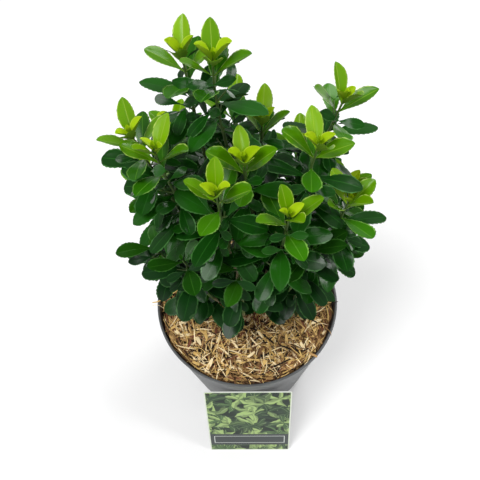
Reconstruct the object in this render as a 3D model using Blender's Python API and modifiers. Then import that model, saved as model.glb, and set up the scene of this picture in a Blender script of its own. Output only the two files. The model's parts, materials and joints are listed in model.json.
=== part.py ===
"""Potted Japanese spindle: an evergreen shrub in a nursery pot, with the picture card that leans on it.

Metres, +Z up. The origin is at the middle of the pot's flat underside. The plant's front,
where the card leans, faces -Y.

The shrub is grown by one rule. A shoot is a smooth curve from its root to its apex. Its lower part
is a bare limb, which is a stem out of the bed or a bough off another limb. Its upper part is a mass
of foliage: a twig with pairs of opposite leaves, each pair nearly a quarter turn on from the last.
"""
import math
import random
from typing import NamedTuple

import bmesh
import bpy
from mathutils import Matrix, Quaternion, Vector, noise
from mathutils.bvhtree import BVHTree
from mathutils.geometry import interpolate_bezier

CLEAR = 0.0003
UP = Vector((0.0, 0.0, 1.0))
RIGHT = Vector((1.0, 0.0, 0.0))

# Pot
POT_HEIGHT = 0.153
POT_RIM_RADIUS = 0.095
POT_BASE_RADIUS = 0.0727
POT_WALL = 0.0014
POT_FLOOR = 0.0022
POT_CHAMFER = 0.002
POT_SIDES = 44
COLLAR_HEIGHT = 0.010
COLLAR_PROUD = 0.0009
LIP_HEIGHT = 0.0022
LIP_ROUND = 0.0005
TURN_WELD = 0.00005
DRAIN_HOLES = 6
DRAIN_SIDES = 16
DRAIN_RADIUS = 0.005
DRAIN_CIRCLE = 0.052
DRAIN_BEARING = math.radians(23)

# Bed of mulch that fills the pot
BED_TOP = 0.1455
BED_RINGS = 6
BED_RELIEF = 0.0044
BED_LUMP = 0.016
BED_FLAT_RADIUS = 0.030

# Picture card
CARD_WIDTH = 0.0915
CARD_LENGTH = 0.124
CARD_THICK = 0.0009
CARD_FOOT = 0.123
CARD_TURN = math.radians(-3.1)
CARD_ANGLES = (math.radians(45), math.radians(89))

# Limbs: the radius grows with the way from the apex, and a stem flares at its foot
APEX_RADIUS = 0.0007
STEM_TAPER = 0.0095
BOUGH_TAPER = 0.0062
FLARE = 0.0022
FLARE_LENGTH = 0.009
STEM_FOOT = 0.004
LIMB_STEP = 0.014
TWIG_STEP = 0.018
LIMB_BEVEL = 1
TWIG_BEVEL = 0
BRANCH_ANGLE = math.radians(48)
ROOT_PULL = 0.35
APEX_PULL = 0.40
CURVE_SAMPLES = 120
CURVE_SLACK = 1.15
SHORTEST_BOUGH = 0.022

# Pairs of leaves, from the apex down: way to the next pair, leaf length, angle off the twig, curl
FIRST_NODE = 0.0035
NODE_STEPS = (0.0042, 0.0078, 0.0105, 0.0115, 0.0120, 0.0125, 0.0125, 0.0125)
LEAF_LENGTHS = (0.0170, 0.0310, 0.0340, 0.0365, 0.0380, 0.0385, 0.0385, 0.0375)
LEAF_SPREADS = (35, 37, 43, 54, 64, 74, 84, 92)
LEAF_CURLS = (0.02, 0.05, 0.09, 0.13, 0.17, 0.20, 0.23, 0.26)
TWIG_FOOT = 0.006
PAIR_TURN = 84
PAIR_JITTER = 11
LENGTH_JITTER = 0.08
TIP_JITTER = 0.22
SPREAD_JITTER = 8
ROLL_JITTER = 16
LIGHT_PULL = 0.35

# A leaf's sections: way along it, half width and depth of its keel, as shares of its length
LEAF_SECTIONS = ((0.41, 0.155, 0.044), (0.75, 0.200, 0.032))
LEAF_ROOT_SINK = 0.55
LEAF_CLEAR = 0.00035
TUBE_WELD = 0.000002
LEAF_WELD = 0.000004
NUDGE = 0.00015
NUDGES = 8
LEAF_FLOOR = POT_HEIGHT + 0.0015

# Where a leaf would touch a neighbour it is tried again: turn, lift in degrees and share of length
TRIALS = (
    (0, 0, 1.0), (12, 0, 1.0), (-12, 0, 1.0), (0, -12, 1.0), (0, 10, 1.0), (24, -6, 0.95),
    (-24, -6, 0.95), (14, -18, 0.88), (-14, -18, 0.88), (34, 0, 0.82), (-34, 0, 0.82), (0, -24, 0.75),
    (20, 16, 0.90), (-20, 16, 0.90), (44, -12, 0.80), (-44, -12, 0.80), (8, -30, 0.66), (-8, 24, 0.66),
)


class Shoot(NamedTuple):
    """One shoot of the shrub.

    root is the foot in the bed as (x, y), or the parent's name and the height where it leaves.
    lean is the slope of the apex off the upright, and turn the bearing of the youngest pair.
    seed draws how its leaves stray, and shade counts the youngest pairs that it lacks in the shade.
    """
    name: str
    root: tuple
    apex: tuple
    lean: tuple
    turn: float
    pairs: int
    seed: int
    shade: int = 0


SHOOTS = (
    # The leading shoots, each on a stem out of the bed
    Shoot("back_left", (-0.012, 0.012), (-0.035, 0.045, 0.440), (-0.05, 0.05), 0, 13, 32),
    Shoot("left", (-0.018, -0.002), (-0.075, 0.012, 0.402), (-0.20, 0.02), 17, 12, 31),
    Shoot("front", (-0.004, -0.014), (-0.018, -0.035, 0.391), (-0.04, -0.10), 0, 13, 2),
    Shoot("right", (0.016, -0.003), (0.055, 0.000, 0.393), (0.10, 0.00), 11, 13, 20),
    Shoot("back_right", (0.010, 0.013), (0.079, 0.040, 0.397), (0.25, 0.08), 25, 12, 5),
    # The tall shoots that branch from them
    Shoot("back", ("back_left", 0.262), (-0.014, 0.030, 0.448), (0.08, 0.00), 0, 11, 8),
    Shoot("inner_left", ("left", 0.238), (-0.058, -0.005, 0.404), (-0.05, -0.05), -17, 10, 14),
    Shoot("inner_back", ("back_right", 0.230), (0.018, 0.038, 0.381), (-0.05, 0.05), 0, 10, 27),
    Shoot("centre", ("front", 0.212), (0.002, -0.010, 0.393), (0.00, 0.02), 11, 11, 36),
    Shoot("front_right", ("right", 0.208), (0.032, -0.040, 0.367), (0.02, -0.12), 22, 10, 31),
    Shoot("outer_right", ("right", 0.196), (0.081, -0.015, 0.345), (0.12, -0.06), 38, 10, 13),
    # The shoots behind them
    Shoot("outer_left", ("left", 0.205), (-0.082, 0.045, 0.313), (-0.25, 0.15), -3, 9, 13),
    Shoot("rear_left", ("back_left", 0.205), (-0.054, 0.085, 0.331), (-0.10, 0.25), -13, 9, 12),
    Shoot("rear", ("back_left", 0.234), (-0.002, 0.082, 0.354), (0.02, 0.20), 0, 10, 2),
    Shoot("rear_right", ("back_right", 0.190), (0.056, 0.082, 0.305), (0.10, 0.25), 10, 9, 10),
    Shoot("outer_back", ("back_right", 0.212), (0.091, 0.028, 0.304), (0.20, 0.10), 48, 9, 10),
    # The low shoots in their shade, all round the foot
    Shoot("low_left", ("left", 0.168), (-0.080, -0.002, 0.273), (-0.35, 0.00), 10, 7, 11, 2),
    Shoot("low_front_left", ("front", 0.176), (-0.050, -0.037, 0.306), (-0.20, -0.18), 18, 6, 54, 2),
    Shoot("low_front", ("front", 0.166), (-0.006, -0.043, 0.297), (-0.05, -0.18), 0, 6, 41, 2),
    Shoot("low_front_right", ("right", 0.172), (0.054, -0.033, 0.305), (0.20, -0.18), -32, 7, 79, 2),
    Shoot("low_right", ("right", 0.166), (0.084, 0.010, 0.269), (0.35, 0.00), 33, 7, 15, 2),
    Shoot("low_rear_right", ("back_right", 0.168), (0.066, 0.058, 0.274), (0.25, 0.25), 22, 8, 1, 2),
    Shoot("low_rear", ("back_left", 0.170), (0.004, 0.080, 0.268), (0.05, 0.35), -22, 8, 12, 2),
    Shoot("low_rear_left", ("back_left", 0.166), (-0.058, 0.058, 0.274), (-0.25, 0.25), -40, 8, 0, 2),
    # The short shoots under those, close over the bed
    Shoot("foot_left", ("left", 0.157), (-0.054, -0.012, 0.215), (-0.36, -0.08), 38, 4, 11, 3),
    Shoot("foot_front_left", ("front", 0.157), (-0.030, -0.010, 0.209), (-0.32, -0.02), 60, 4, 41, 3),
    Shoot("foot_front_right", ("front", 0.160), (0.024, -0.008, 0.211), (0.32, -0.02), 60, 4, 41, 3),
    Shoot("foot_right", ("right", 0.158), (0.059, -0.002, 0.208), (0.40, -0.03), 65, 4, 12, 3),
    Shoot("foot_rear_right", ("right", 0.162), (0.048, 0.024, 0.212), (0.35, 0.20), 20, 5, 41, 3),
    Shoot("foot_rear", ("back_right", 0.158), (0.020, 0.050, 0.214), (0.15, 0.40), 60, 5, 41, 3),
    Shoot("foot_rear_left", ("back_left", 0.158), (-0.022, 0.050, 0.212), (-0.15, 0.40), 20, 5, 41, 3),
    Shoot("foot_outer_left", ("left", 0.163), (-0.050, 0.018, 0.214), (-0.40, 0.15), 60, 5, 41, 3),
)


class Finish(NamedTuple):
    """A plain surface: its colour, roughness and metallic value."""
    colour: tuple
    roughness: float
    metallic: float = 0.0


FINISHES = {
    "pot_plastic": Finish((0.050, 0.052, 0.055), 0.48),
    "mulch_straw": Finish((0.42, 0.27, 0.12), 0.90),
    "card_print": Finish((0.16, 0.27, 0.10), 0.35),
    "bark": Finish((0.16, 0.15, 0.07), 0.80),
    "leaf_green": Finish((0.045, 0.17, 0.016), 0.30),
    "leaf_shade": Finish((0.012, 0.060, 0.016), 0.30),
}


def clear_scene():
    """Remove whatever the scene holds."""
    for item in list(bpy.data.objects):
        bpy.data.objects.remove(item, do_unlink=True)


def new_collection(name):
    """Make a collection in the scene."""
    collection = bpy.data.collections.new(name)
    bpy.context.scene.collection.children.link(collection)
    return collection


def finish(item, name):
    """Give an object the named finish."""
    material = bpy.data.materials.get(name)
    if material is None:
        look = FINISHES[name]
        material = bpy.data.materials.new(name)
        material.use_nodes = True
        shader = material.node_tree.nodes["Principled BSDF"]
        shader.inputs["Base Color"].default_value = (*look.colour, 1.0)
        shader.inputs["Roughness"].default_value = look.roughness
        shader.inputs["Metallic"].default_value = look.metallic
        material.diffuse_color = (*look.colour, 1.0)
    item.data.materials.clear()
    item.data.materials.append(material)


def move_to(item, collection):
    """Keep an object in one collection only."""
    for owner in list(item.users_collection):
        owner.objects.unlink(item)
    collection.objects.link(item)


def evaluated_mesh(item):
    """The mesh that an object's modifiers or bevel make."""
    graph = bpy.context.evaluated_depsgraph_get()
    return bpy.data.meshes.new_from_object(item.evaluated_get(graph))


# Pot, bed and card

def wall_radius(height):
    """Outer radius of the pot's tapering wall, under its collar."""
    top = POT_RIM_RADIUS - COLLAR_PROUD
    return POT_BASE_RADIUS + (top - POT_BASE_RADIUS) * height / POT_HEIGHT


def bed_radius(height):
    """Radius of the bed, just clear of the pot's inner wall."""
    return wall_radius(height) - POT_WALL - CLEAR


def turned(name, profile, collection):
    """Turn a profile of (radius, height) points round the Z axis."""
    mesh = bpy.data.meshes.new(name)
    mesh.from_pydata([(radius, 0.0, height) for radius, height in profile],
                     [(i, i + 1) for i in range(len(profile) - 1)], [])
    item = bpy.data.objects.new(name, mesh)
    collection.objects.link(item)
    screw = item.modifiers.new("turn", "SCREW")
    screw.steps = POT_SIDES
    screw.render_steps = POT_SIDES
    screw.use_merge_vertices = True
    screw.merge_threshold = TURN_WELD
    return item


def build_pot(parts, cutters):
    """The nursery pot: a turned shell with a collar and a lip, and drain holes through its floor."""
    collar_foot = POT_HEIGHT - COLLAR_HEIGHT
    lip_foot = POT_HEIGHT - LIP_HEIGHT
    inner_rim = wall_radius(POT_HEIGHT) - POT_WALL
    profile = [
        (0.0, POT_FLOOR),
        (wall_radius(POT_FLOOR) - POT_WALL, POT_FLOOR),
        (inner_rim, POT_HEIGHT),
        (POT_RIM_RADIUS - LIP_ROUND, POT_HEIGHT),
        (POT_RIM_RADIUS, POT_HEIGHT - LIP_ROUND),
        (POT_RIM_RADIUS, lip_foot),
        (POT_RIM_RADIUS - LIP_ROUND, lip_foot - LIP_ROUND),
        (wall_radius(collar_foot) + COLLAR_PROUD / 2, collar_foot + LIP_ROUND),
        (wall_radius(collar_foot), collar_foot),
        (wall_radius(POT_CHAMFER), POT_CHAMFER),
        (POT_BASE_RADIUS - POT_CHAMFER, 0.0),
        (0.0, 0.0),
    ]
    pot = turned("pot", profile, parts)
    for i in range(DRAIN_HOLES):
        bearing = DRAIN_BEARING + math.tau * i / DRAIN_HOLES
        bpy.ops.mesh.primitive_cylinder_add(
            vertices=DRAIN_SIDES, radius=DRAIN_RADIUS, depth=4 * POT_FLOOR,
            location=(DRAIN_CIRCLE * math.cos(bearing), DRAIN_CIRCLE * math.sin(bearing), POT_FLOOR / 2))
        hole = bpy.context.object
        hole.name = f"drain_hole_{i + 1}"
        hole.hide_render = True
        hole.display_type = "WIRE"
        move_to(hole, cutters)
    cut = pot.modifiers.new("drain", "BOOLEAN")
    cut.operation = "DIFFERENCE"
    cut.operand_type = "COLLECTION"
    cut.collection = cutters
    finish(pot, "pot_plastic")


def build_bed(parts):
    """The bed that fills the pot, with a lumpy top that is flat where the stems stand."""
    foot = POT_FLOOR + CLEAR
    edge = bed_radius(BED_TOP)
    profile = [(edge * i / BED_RINGS, BED_TOP) for i in range(BED_RINGS + 1)]
    profile += [(bed_radius(foot), foot), (0.0, foot)]
    bed = turned("mulch_bed", profile, parts)
    mesh = evaluated_mesh(bed)
    bed.modifiers.clear()
    bed.data = mesh
    for vertex in mesh.vertices:
        radius = vertex.co.to_2d().length
        on_top = vertex.co.z > BED_TOP - CLEAR and radius < edge - CLEAR
        if on_top and radius > BED_FLAT_RADIUS:
            share = min(1.0, (radius - BED_FLAT_RADIUS) / BED_LUMP)
            vertex.co.z += BED_RELIEF * share * noise.noise(vertex.co / BED_LUMP)
    finish(bed, "mulch_straw")


def card_angle():
    """The card's angle off the floor, where its top edge rests on the pot's wall."""
    low, high = CARD_ANGLES
    while high - low > 1e-6:
        angle = (low + high) / 2
        reach = CARD_FOOT - CARD_LENGTH * math.cos(angle)
        if reach > wall_radius(CARD_LENGTH * math.sin(angle)) + CLEAR:
            high = angle
        else:
            low = angle
    return high


def build_card(parts):
    """The stiff picture card, its foot on the floor in front of the pot."""
    bpy.ops.mesh.primitive_cube_add(size=1.0)
    card = bpy.context.object
    card.name = "picture_card"
    card.data.transform(Matrix.Diagonal((CARD_WIDTH, CARD_THICK, CARD_LENGTH, 1.0)))
    card.data.transform(Matrix.Translation((0.0, -CARD_THICK / 2, CARD_LENGTH / 2)))
    lean = Matrix.Rotation(card_angle() - math.pi / 2, 4, "X")
    stand = Matrix.Translation((0.0, -CARD_FOOT, 0.0))
    card.matrix_world = Matrix.Rotation(CARD_TURN, 4, "Z") @ stand @ lean
    move_to(card, parts)
    finish(card, "card_print")


# Limbs

class Route:
    """A smooth curve from a shoot's root to its apex, read by the way along it."""

    def __init__(self, points):
        self.points = points
        self.ways = [0.0]
        for start, end in zip(points, points[1:]):
            self.ways.append(self.ways[-1] + (end - start).length)
        self.length = self.ways[-1]

    def at(self, way):
        """The point and the direction at a way along the curve."""
        way = min(max(way, 0.0), self.length)
        index = 0
        while index < len(self.ways) - 2 and self.ways[index + 1] < way:
            index += 1
        start = self.points[index]
        step = self.points[index + 1] - start
        share = (way - self.ways[index]) / step.length
        return start + step * share, step.normalized()

    def way_at_height(self, height):
        """The way along the curve to a height."""
        for way, point in zip(self.ways, self.points):
            if point.z >= height:
                return way
        return self.length


def is_stem(shoot):
    """Whether a shoot stands in the bed."""
    return not isinstance(shoot.root[0], str)


def limb_radius(shoot, route, way):
    """A shoot's radius at a way along it."""
    taper = STEM_TAPER if is_stem(shoot) else BOUGH_TAPER
    radius = APEX_RADIUS + taper * (route.length - way)
    if is_stem(shoot):
        radius += FLARE * math.exp(-way / FLARE_LENGTH)
    return radius


def foliage_length(shoot):
    """The way from the apex to the foot of the twig that carries the leaves."""
    return list(leaf_nodes(shoot))[-1][0] + TWIG_FOOT


def leaf_nodes(shoot):
    """Each pair's way from the apex, and its age as a place in the tables of leaf sizes."""
    way = FIRST_NODE
    for i in range(shoot.pairs):
        age = min(i + shoot.shade, len(NODE_STEPS) - 1)
        yield way, age
        way += NODE_STEPS[age]


def shoot_route(shoot, routes):
    """Lay a shoot's curve from the bed, or from its parent's side, up to its apex."""
    apex = Vector(shoot.apex)
    tip_way = Vector((*shoot.lean, 1.0)).normalized()
    lead_in = []
    if is_stem(shoot):
        foot = Vector((*shoot.root, BED_TOP + CLEAR))
        lead_in = [foot]
        root = foot + UP * STEM_FOOT
        leave = UP
    else:
        parent_name, height = shoot.root
        parent, parent_route = routes[parent_name]
        way = parent_route.way_at_height(height)
        point, tangent = parent_route.at(way)
        outward = apex - point
        outward = (outward - tangent * outward.dot(tangent)).normalized()
        own_radius = APEX_RADIUS + BOUGH_TAPER * (apex - point).length * CURVE_SLACK
        gap = limb_radius(parent, parent_route, way) + CLEAR + own_radius * math.cos(BRANCH_ANGLE)
        root = point + outward * gap
        leave = tangent * math.cos(BRANCH_ANGLE) + outward * math.sin(BRANCH_ANGLE)
    span = (apex - root).length
    curve = interpolate_bezier(root, root + leave * span * ROOT_PULL, apex - tip_way * span * APEX_PULL,
                               apex, CURVE_SAMPLES)
    return Route(lead_in + curve)


def tube(name, shoot, route, start, end, step, bevel):
    """A tapering tube along part of a shoot's route, as a closed mesh."""
    count = max(2, round((end - start) / step) + 1)
    ways = [start + (end - start) * i / (count - 1) for i in range(count)]
    if is_stem(shoot) and start == 0.0:
        ways[1:1] = [STEM_FOOT]
    curve = bpy.data.curves.new(name, "CURVE")
    curve.dimensions = "3D"
    curve.bevel_depth = 1.0
    curve.bevel_resolution = bevel
    curve.use_fill_caps = True
    spline = curve.splines.new("POLY")
    spline.points.add(len(ways) - 1)
    for target, way in zip(spline.points, ways):
        target.co = (*route.at(way)[0], 1.0)
        target.radius = limb_radius(shoot, route, way)
    item = bpy.data.objects.new(name, curve)
    bpy.context.scene.collection.objects.link(item)
    mesh = evaluated_mesh(item)
    bpy.data.objects.remove(item)
    bpy.data.curves.remove(curve)
    body = bmesh.new()
    body.from_mesh(mesh)
    bmesh.ops.remove_doubles(body, verts=body.verts, dist=TUBE_WELD)
    bmesh.ops.recalc_face_normals(body, faces=body.faces)
    body.to_mesh(mesh)
    body.free()
    mesh.name = name
    return mesh


# Leaves

class Leaf(NamedTuple):
    """One leaf: its root, its way out, the way its upper face looks, its length and its curl."""
    root: Vector
    axis: Vector
    face: Vector
    length: float
    curl: float


def leaf_body(leaf, margin=0.0):
    """A leaf as a closed body: a flat upper face, a keel below, and a tip that curls back."""
    side = leaf.axis.cross(leaf.face)
    body = bmesh.new()
    root = body.verts.new(leaf.root)
    rings = []
    for along, half_width, depth in LEAF_SECTIONS:
        middle = leaf.root + leaf.axis * leaf.length * along - leaf.face * leaf.length * leaf.curl * along ** 2
        half = side * (half_width * leaf.length + margin)
        top = leaf.face * margin
        keel = leaf.face * (depth * leaf.length + margin)
        rings.append([body.verts.new(middle + half + top), body.verts.new(middle - half + top),
                      body.verts.new(middle - keel)])
    tip = body.verts.new(leaf.root + leaf.axis * (leaf.length + margin) - leaf.face * leaf.length * leaf.curl)
    for i in range(3):
        body.faces.new((root, rings[0][i], rings[0][(i + 1) % 3]))
    for lower, upper in zip(rings, rings[1:]):
        for i in range(3):
            body.faces.new((lower[i], lower[(i + 1) % 3], upper[(i + 1) % 3], upper[i]))
    for i in range(3):
        body.faces.new((rings[-1][i], rings[-1][(i + 1) % 3], tip))
    bmesh.ops.triangulate(body, faces=body.faces)
    bmesh.ops.recalc_face_normals(body, faces=body.faces)
    return body


class Obstacle(NamedTuple):
    """A body that leaves keep clear of: whose it is, where it is, and its faces."""
    owner: str
    centre: Vector
    radius: float
    tree: BVHTree


def obstacle(owner, body):
    """Note a body as an obstacle."""
    corners = [vertex.co for vertex in body.verts]
    centre = sum(corners, Vector()) / len(corners)
    radius = max((corner - centre).length for corner in corners)
    return Obstacle(owner, centre, radius, BVHTree.FromBMesh(body))


def mesh_obstacle(owner, mesh):
    """Note a mesh as an obstacle."""
    body = bmesh.new()
    body.from_mesh(mesh)
    found = obstacle(owner, body)
    body.free()
    return found


def is_clear(owner, body, obstacles):
    """Whether a body stays above the pot's rim and touches nothing of another owner's."""
    if min(vertex.co.z for vertex in body.verts) < LEAF_FLOOR:
        return False
    trial = obstacle(owner, body)
    for other in obstacles:
        near = (other.centre - trial.centre).length < other.radius + trial.radius
        if near and other.owner != owner and trial.tree.overlap(other.tree):
            return False
    return True


def leaf_at(shoot, route, way, age, bearing, lift, roll, size):
    """The leaf that a twig carries at a way from its apex, facing the light but for its roll."""
    point, along = route.at(route.length - way)
    along = along.lerp(UP, LIGHT_PULL).normalized()
    level = (RIGHT - along * RIGHT.dot(along)).normalized()
    out = Quaternion(along, math.radians(bearing)) @ level
    spread = math.radians(LEAF_SPREADS[age] + lift)
    axis = along * math.cos(spread) + out * math.sin(spread)
    face = Quaternion(axis, math.radians(roll)) @ (along * math.sin(spread) - out * math.cos(spread))
    sink = LEAF_ROOT_SINK * limb_radius(shoot, route, route.length - way)
    return Leaf(point - axis * sink, axis, face, LEAF_LENGTHS[age] * size, LEAF_CURLS[age])


def grow_leaves(shoot, route, obstacles):
    """Grow a shoot's leaves in pairs, each leaf turned, lifted or shortened where it would touch."""
    chance = random.Random(f"{shoot.seed} {shoot.name}")
    leaves = []
    for i, (way, age) in enumerate(leaf_nodes(shoot)):
        pair_bearing = shoot.turn + PAIR_TURN * i + chance.uniform(-PAIR_JITTER, PAIR_JITTER)
        for bearing in (pair_bearing, pair_bearing + 180):
            jitter = LENGTH_JITTER if age else TIP_JITTER
            size = 1 + chance.uniform(-jitter, jitter)
            roll = chance.uniform(-ROLL_JITTER, ROLL_JITTER)
            tilt = chance.uniform(-SPREAD_JITTER, SPREAD_JITTER)
            for turn, lift, share in TRIALS:
                leaf = leaf_at(shoot, route, way, age, bearing + turn, tilt + lift, roll, size * share)
                swollen = leaf_body(leaf, LEAF_CLEAR)
                fits = is_clear(shoot.name, swollen, obstacles)
                if fits:
                    obstacles.append(obstacle(shoot.name, swollen))
                    leaves.append(leaf)
                swollen.free()
                if fits:
                    break
    return leaves


def tidy_body(mesh):
    """Weld a fused mesh, drop its loose scraps and sealed hollows, and say whether it is closed."""
    body = bmesh.new()
    body.from_mesh(mesh)
    bmesh.ops.remove_doubles(body, verts=body.verts, dist=LEAF_WELD)
    bmesh.ops.dissolve_degenerate(body, edges=body.edges, dist=LEAF_WELD)
    bmesh.ops.triangulate(body, faces=body.faces)
    left = set(body.verts)
    groups = []
    while left:
        group = set()
        front = [left.pop()]
        while front:
            vertex = front.pop()
            group.add(vertex)
            near = {edge.other_vert(vertex) for edge in vertex.link_edges} & left
            left -= near
            front.extend(near)
        groups.append(group)
    groups.sort(key=len)
    for scrap in groups[:-1]:
        bmesh.ops.delete(body, geom=list(scrap), context="VERTS")
    closed = all(edge.is_manifold for edge in body.edges) and all(vertex.is_manifold for vertex in body.verts)
    body.to_mesh(mesh)
    body.free()
    return closed


def fused_mesh(twig, leaves, solver):
    """The closed mesh of a twig with leaves joined to it, or None where the solver leaves it open."""
    blades = new_collection("blades")
    for i, leaf in enumerate(leaves):
        body = leaf_body(leaf)
        mesh = bpy.data.meshes.new(f"blade_{i + 1}")
        body.to_mesh(mesh)
        body.free()
        blades.objects.link(bpy.data.objects.new(mesh.name, mesh))
    union = twig.modifiers.new("leaves", "BOOLEAN")
    union.operation = "UNION"
    union.operand_type = "COLLECTION"
    union.collection = blades
    union.solver = solver
    mesh = evaluated_mesh(twig)
    twig.modifiers.clear()
    for blade in list(blades.objects):
        bpy.data.objects.remove(blade)
    bpy.data.collections.remove(blades)
    return mesh if tidy_body(mesh) else None


def fuse(twig, leaves):
    """Join a twig and its leaves, whose roots shift by a hair, or which lose one, where that fails."""
    chance = random.Random(twig.name)
    mesh = None
    tries = 0
    while mesh is None:
        mesh = fused_mesh(twig, leaves, "EXACT") or fused_mesh(twig, leaves, "MANIFOLD")
        tries += 1
        leaves = [leaf._replace(root=leaf.root + leaf.axis * chance.uniform(-NUDGE, NUDGE)) for leaf in leaves]
        if tries % NUDGES == 0:
            leaves.pop()
    twig.data = mesh


def build_shrub(parts):
    """Lay every limb and twig, then grow the leaves shoot by shoot and fuse them on."""
    routes = {}
    obstacles = []
    twigs = {}
    for shoot in SHOOTS:
        route = shoot_route(shoot, routes)
        routes[shoot.name] = (shoot, route)
        foliage_foot = route.length - foliage_length(shoot)
        if foliage_foot > SHORTEST_BOUGH:
            name = ("stem_" if is_stem(shoot) else "bough_") + shoot.name
            mesh = tube(name, shoot, route, 0.0, foliage_foot - CLEAR, LIMB_STEP, LIMB_BEVEL)
            limb = bpy.data.objects.new(name, mesh)
            parts.objects.link(limb)
            finish(limb, "bark")
            mesh.shade_smooth()
            obstacles.append(mesh_obstacle(name, mesh))
        else:
            foliage_foot = 0.0
        name = "foliage_" + shoot.name
        mesh = tube(name, shoot, route, foliage_foot, route.length, TWIG_STEP, TWIG_BEVEL)
        obstacles.append(mesh_obstacle(shoot.name, mesh))
        twigs[name] = mesh
    for shoot in SHOOTS:
        name = "foliage_" + shoot.name
        twig = bpy.data.objects.new(name, twigs[name])
        parts.objects.link(twig)
        fuse(twig, grow_leaves(shoot, routes[shoot.name][1], obstacles))
        finish(twig, "leaf_shade" if shoot.shade else "leaf_green")


def main():
    """Build the potted plant."""
    clear_scene()
    parts = new_collection("potted_japanese_spindle")
    cutters = new_collection("cutters")
    build_pot(parts, cutters)
    build_bed(parts)
    build_card(parts)
    build_shrub(parts)


main()
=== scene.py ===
"""Looks of the potted Japanese spindle: an evergreen shrub in its nursery pot, with the picture card.

Metres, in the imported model's frame: +Z is up, the origin is at the middle of the pot's flat underside,
and the front, where the card leans, faces -Y.

The shrub is grown here by the rule that its solids follow. A shoot is a smooth curve from its root to
its apex. Pairs of opposite leaves stand on its upper part, each pair nearly a quarter turn on from the
last, and a leaf that would touch a neighbour is turned, lifted or shortened, or else left out. Small sprouts
in the axils of the older leaves carry the rule on to finer twigs.
"""
import json
import logging
import math
import random
from collections.abc import Iterator, Sequence
from dataclasses import dataclass, field
from enum import Enum, auto

import bmesh
import bpy
import numpy as np
from mathutils import Matrix, Quaternion, Vector, noise
from mathutils.bvhtree import BVHTree
from mathutils.geometry import interpolate_bezier

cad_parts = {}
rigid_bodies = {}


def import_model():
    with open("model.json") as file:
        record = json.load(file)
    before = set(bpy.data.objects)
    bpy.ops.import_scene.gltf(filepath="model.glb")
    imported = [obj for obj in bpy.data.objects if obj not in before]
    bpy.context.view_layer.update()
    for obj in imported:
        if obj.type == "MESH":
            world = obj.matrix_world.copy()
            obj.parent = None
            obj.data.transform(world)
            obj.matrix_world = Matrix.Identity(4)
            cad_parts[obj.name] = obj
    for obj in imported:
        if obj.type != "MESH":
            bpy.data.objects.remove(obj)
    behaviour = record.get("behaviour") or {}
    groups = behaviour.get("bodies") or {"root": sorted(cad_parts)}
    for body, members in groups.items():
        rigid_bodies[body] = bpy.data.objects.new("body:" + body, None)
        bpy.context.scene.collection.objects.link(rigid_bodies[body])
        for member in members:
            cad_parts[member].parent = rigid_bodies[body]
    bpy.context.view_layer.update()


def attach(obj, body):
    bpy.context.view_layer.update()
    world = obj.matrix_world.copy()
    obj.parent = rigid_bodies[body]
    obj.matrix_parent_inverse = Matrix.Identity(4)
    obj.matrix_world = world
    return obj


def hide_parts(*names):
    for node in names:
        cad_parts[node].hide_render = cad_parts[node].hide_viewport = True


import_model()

LOG = logging.getLogger("spindle")
SEED = 41
BODY = "root"
CLEAR = 0.0003
UP = Vector((0.0, 0.0, 1.0))
RIGHT = Vector((1.0, 0.0, 0.0))
BACK = Vector((0.0, 1.0, 0.0))
Pair = tuple[float, float]
Triple = tuple[float, float, float]
Colour = Triple
Mesh, Material, Socket = bpy.types.Mesh, bpy.types.Material, bpy.types.NodeSocket


# Helpers for meshes, node trees and pieces

def linear(colour: Colour) -> tuple[float, float, float, float]:
    """Turn a display colour into the linear one that shaders take."""
    shares = [value / 255 for value in colour]
    return (*(s / 12.92 if s <= 0.04045 else ((s + 0.055) / 1.055) ** 2.4 for s in shares), 1.0)


def polar(radius: float, angle: float) -> Pair:
    """Give the place at a radius and an angle round the origin."""
    return radius * math.cos(angle), radius * math.sin(angle)


def arc(x: float, y: float, radius: float, start: float, end: float, steps: int) -> list[Pair]:
    """Give points on an arc round (x, y), from a start to an end angle in degrees."""
    bows = (polar(radius, math.radians(start + (end - start) * i / steps)) for i in range(steps + 1))
    return [(x + across, y + rise) for across, rise in bows]


def tube(rings: int, sides: int) -> list[tuple[int, ...]]:
    """Give the faces of a closed tube, whose vertices are its rings from one end to the other.

    Args:
        rings: how many rings there are.
        sides: how many vertices each ring has.

    Returns:
        The faces.
    """
    last = (rings - 1) * sides
    walls = [(a + i, a + (i + 1) % sides, a + sides + (i + 1) % sides, a + sides + i)
             for a in range(0, last, sides) for i in range(sides)]
    return [tuple(reversed(range(sides))), *walls, tuple(range(last, last + sides))]


def web(rings: int, spokes: int) -> list[tuple[int, ...]]:
    """Give the faces of a round patch, whose vertices are its middle and then its rings from the inmost out.

    Args:
        rings: how many rings there are.
        spokes: how many vertices each ring has.

    Returns:
        The faces.
    """
    faces = []
    for spoke in range(spokes):
        after = (spoke + 1) % spokes
        faces.append((0, 1 + spoke, 1 + after))
        for a in range(1, 1 + (rings - 1) * spokes, spokes):
            b = a + spokes
            faces.append((a + spoke, b + spoke, b + after, a + after))
    return faces


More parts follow.
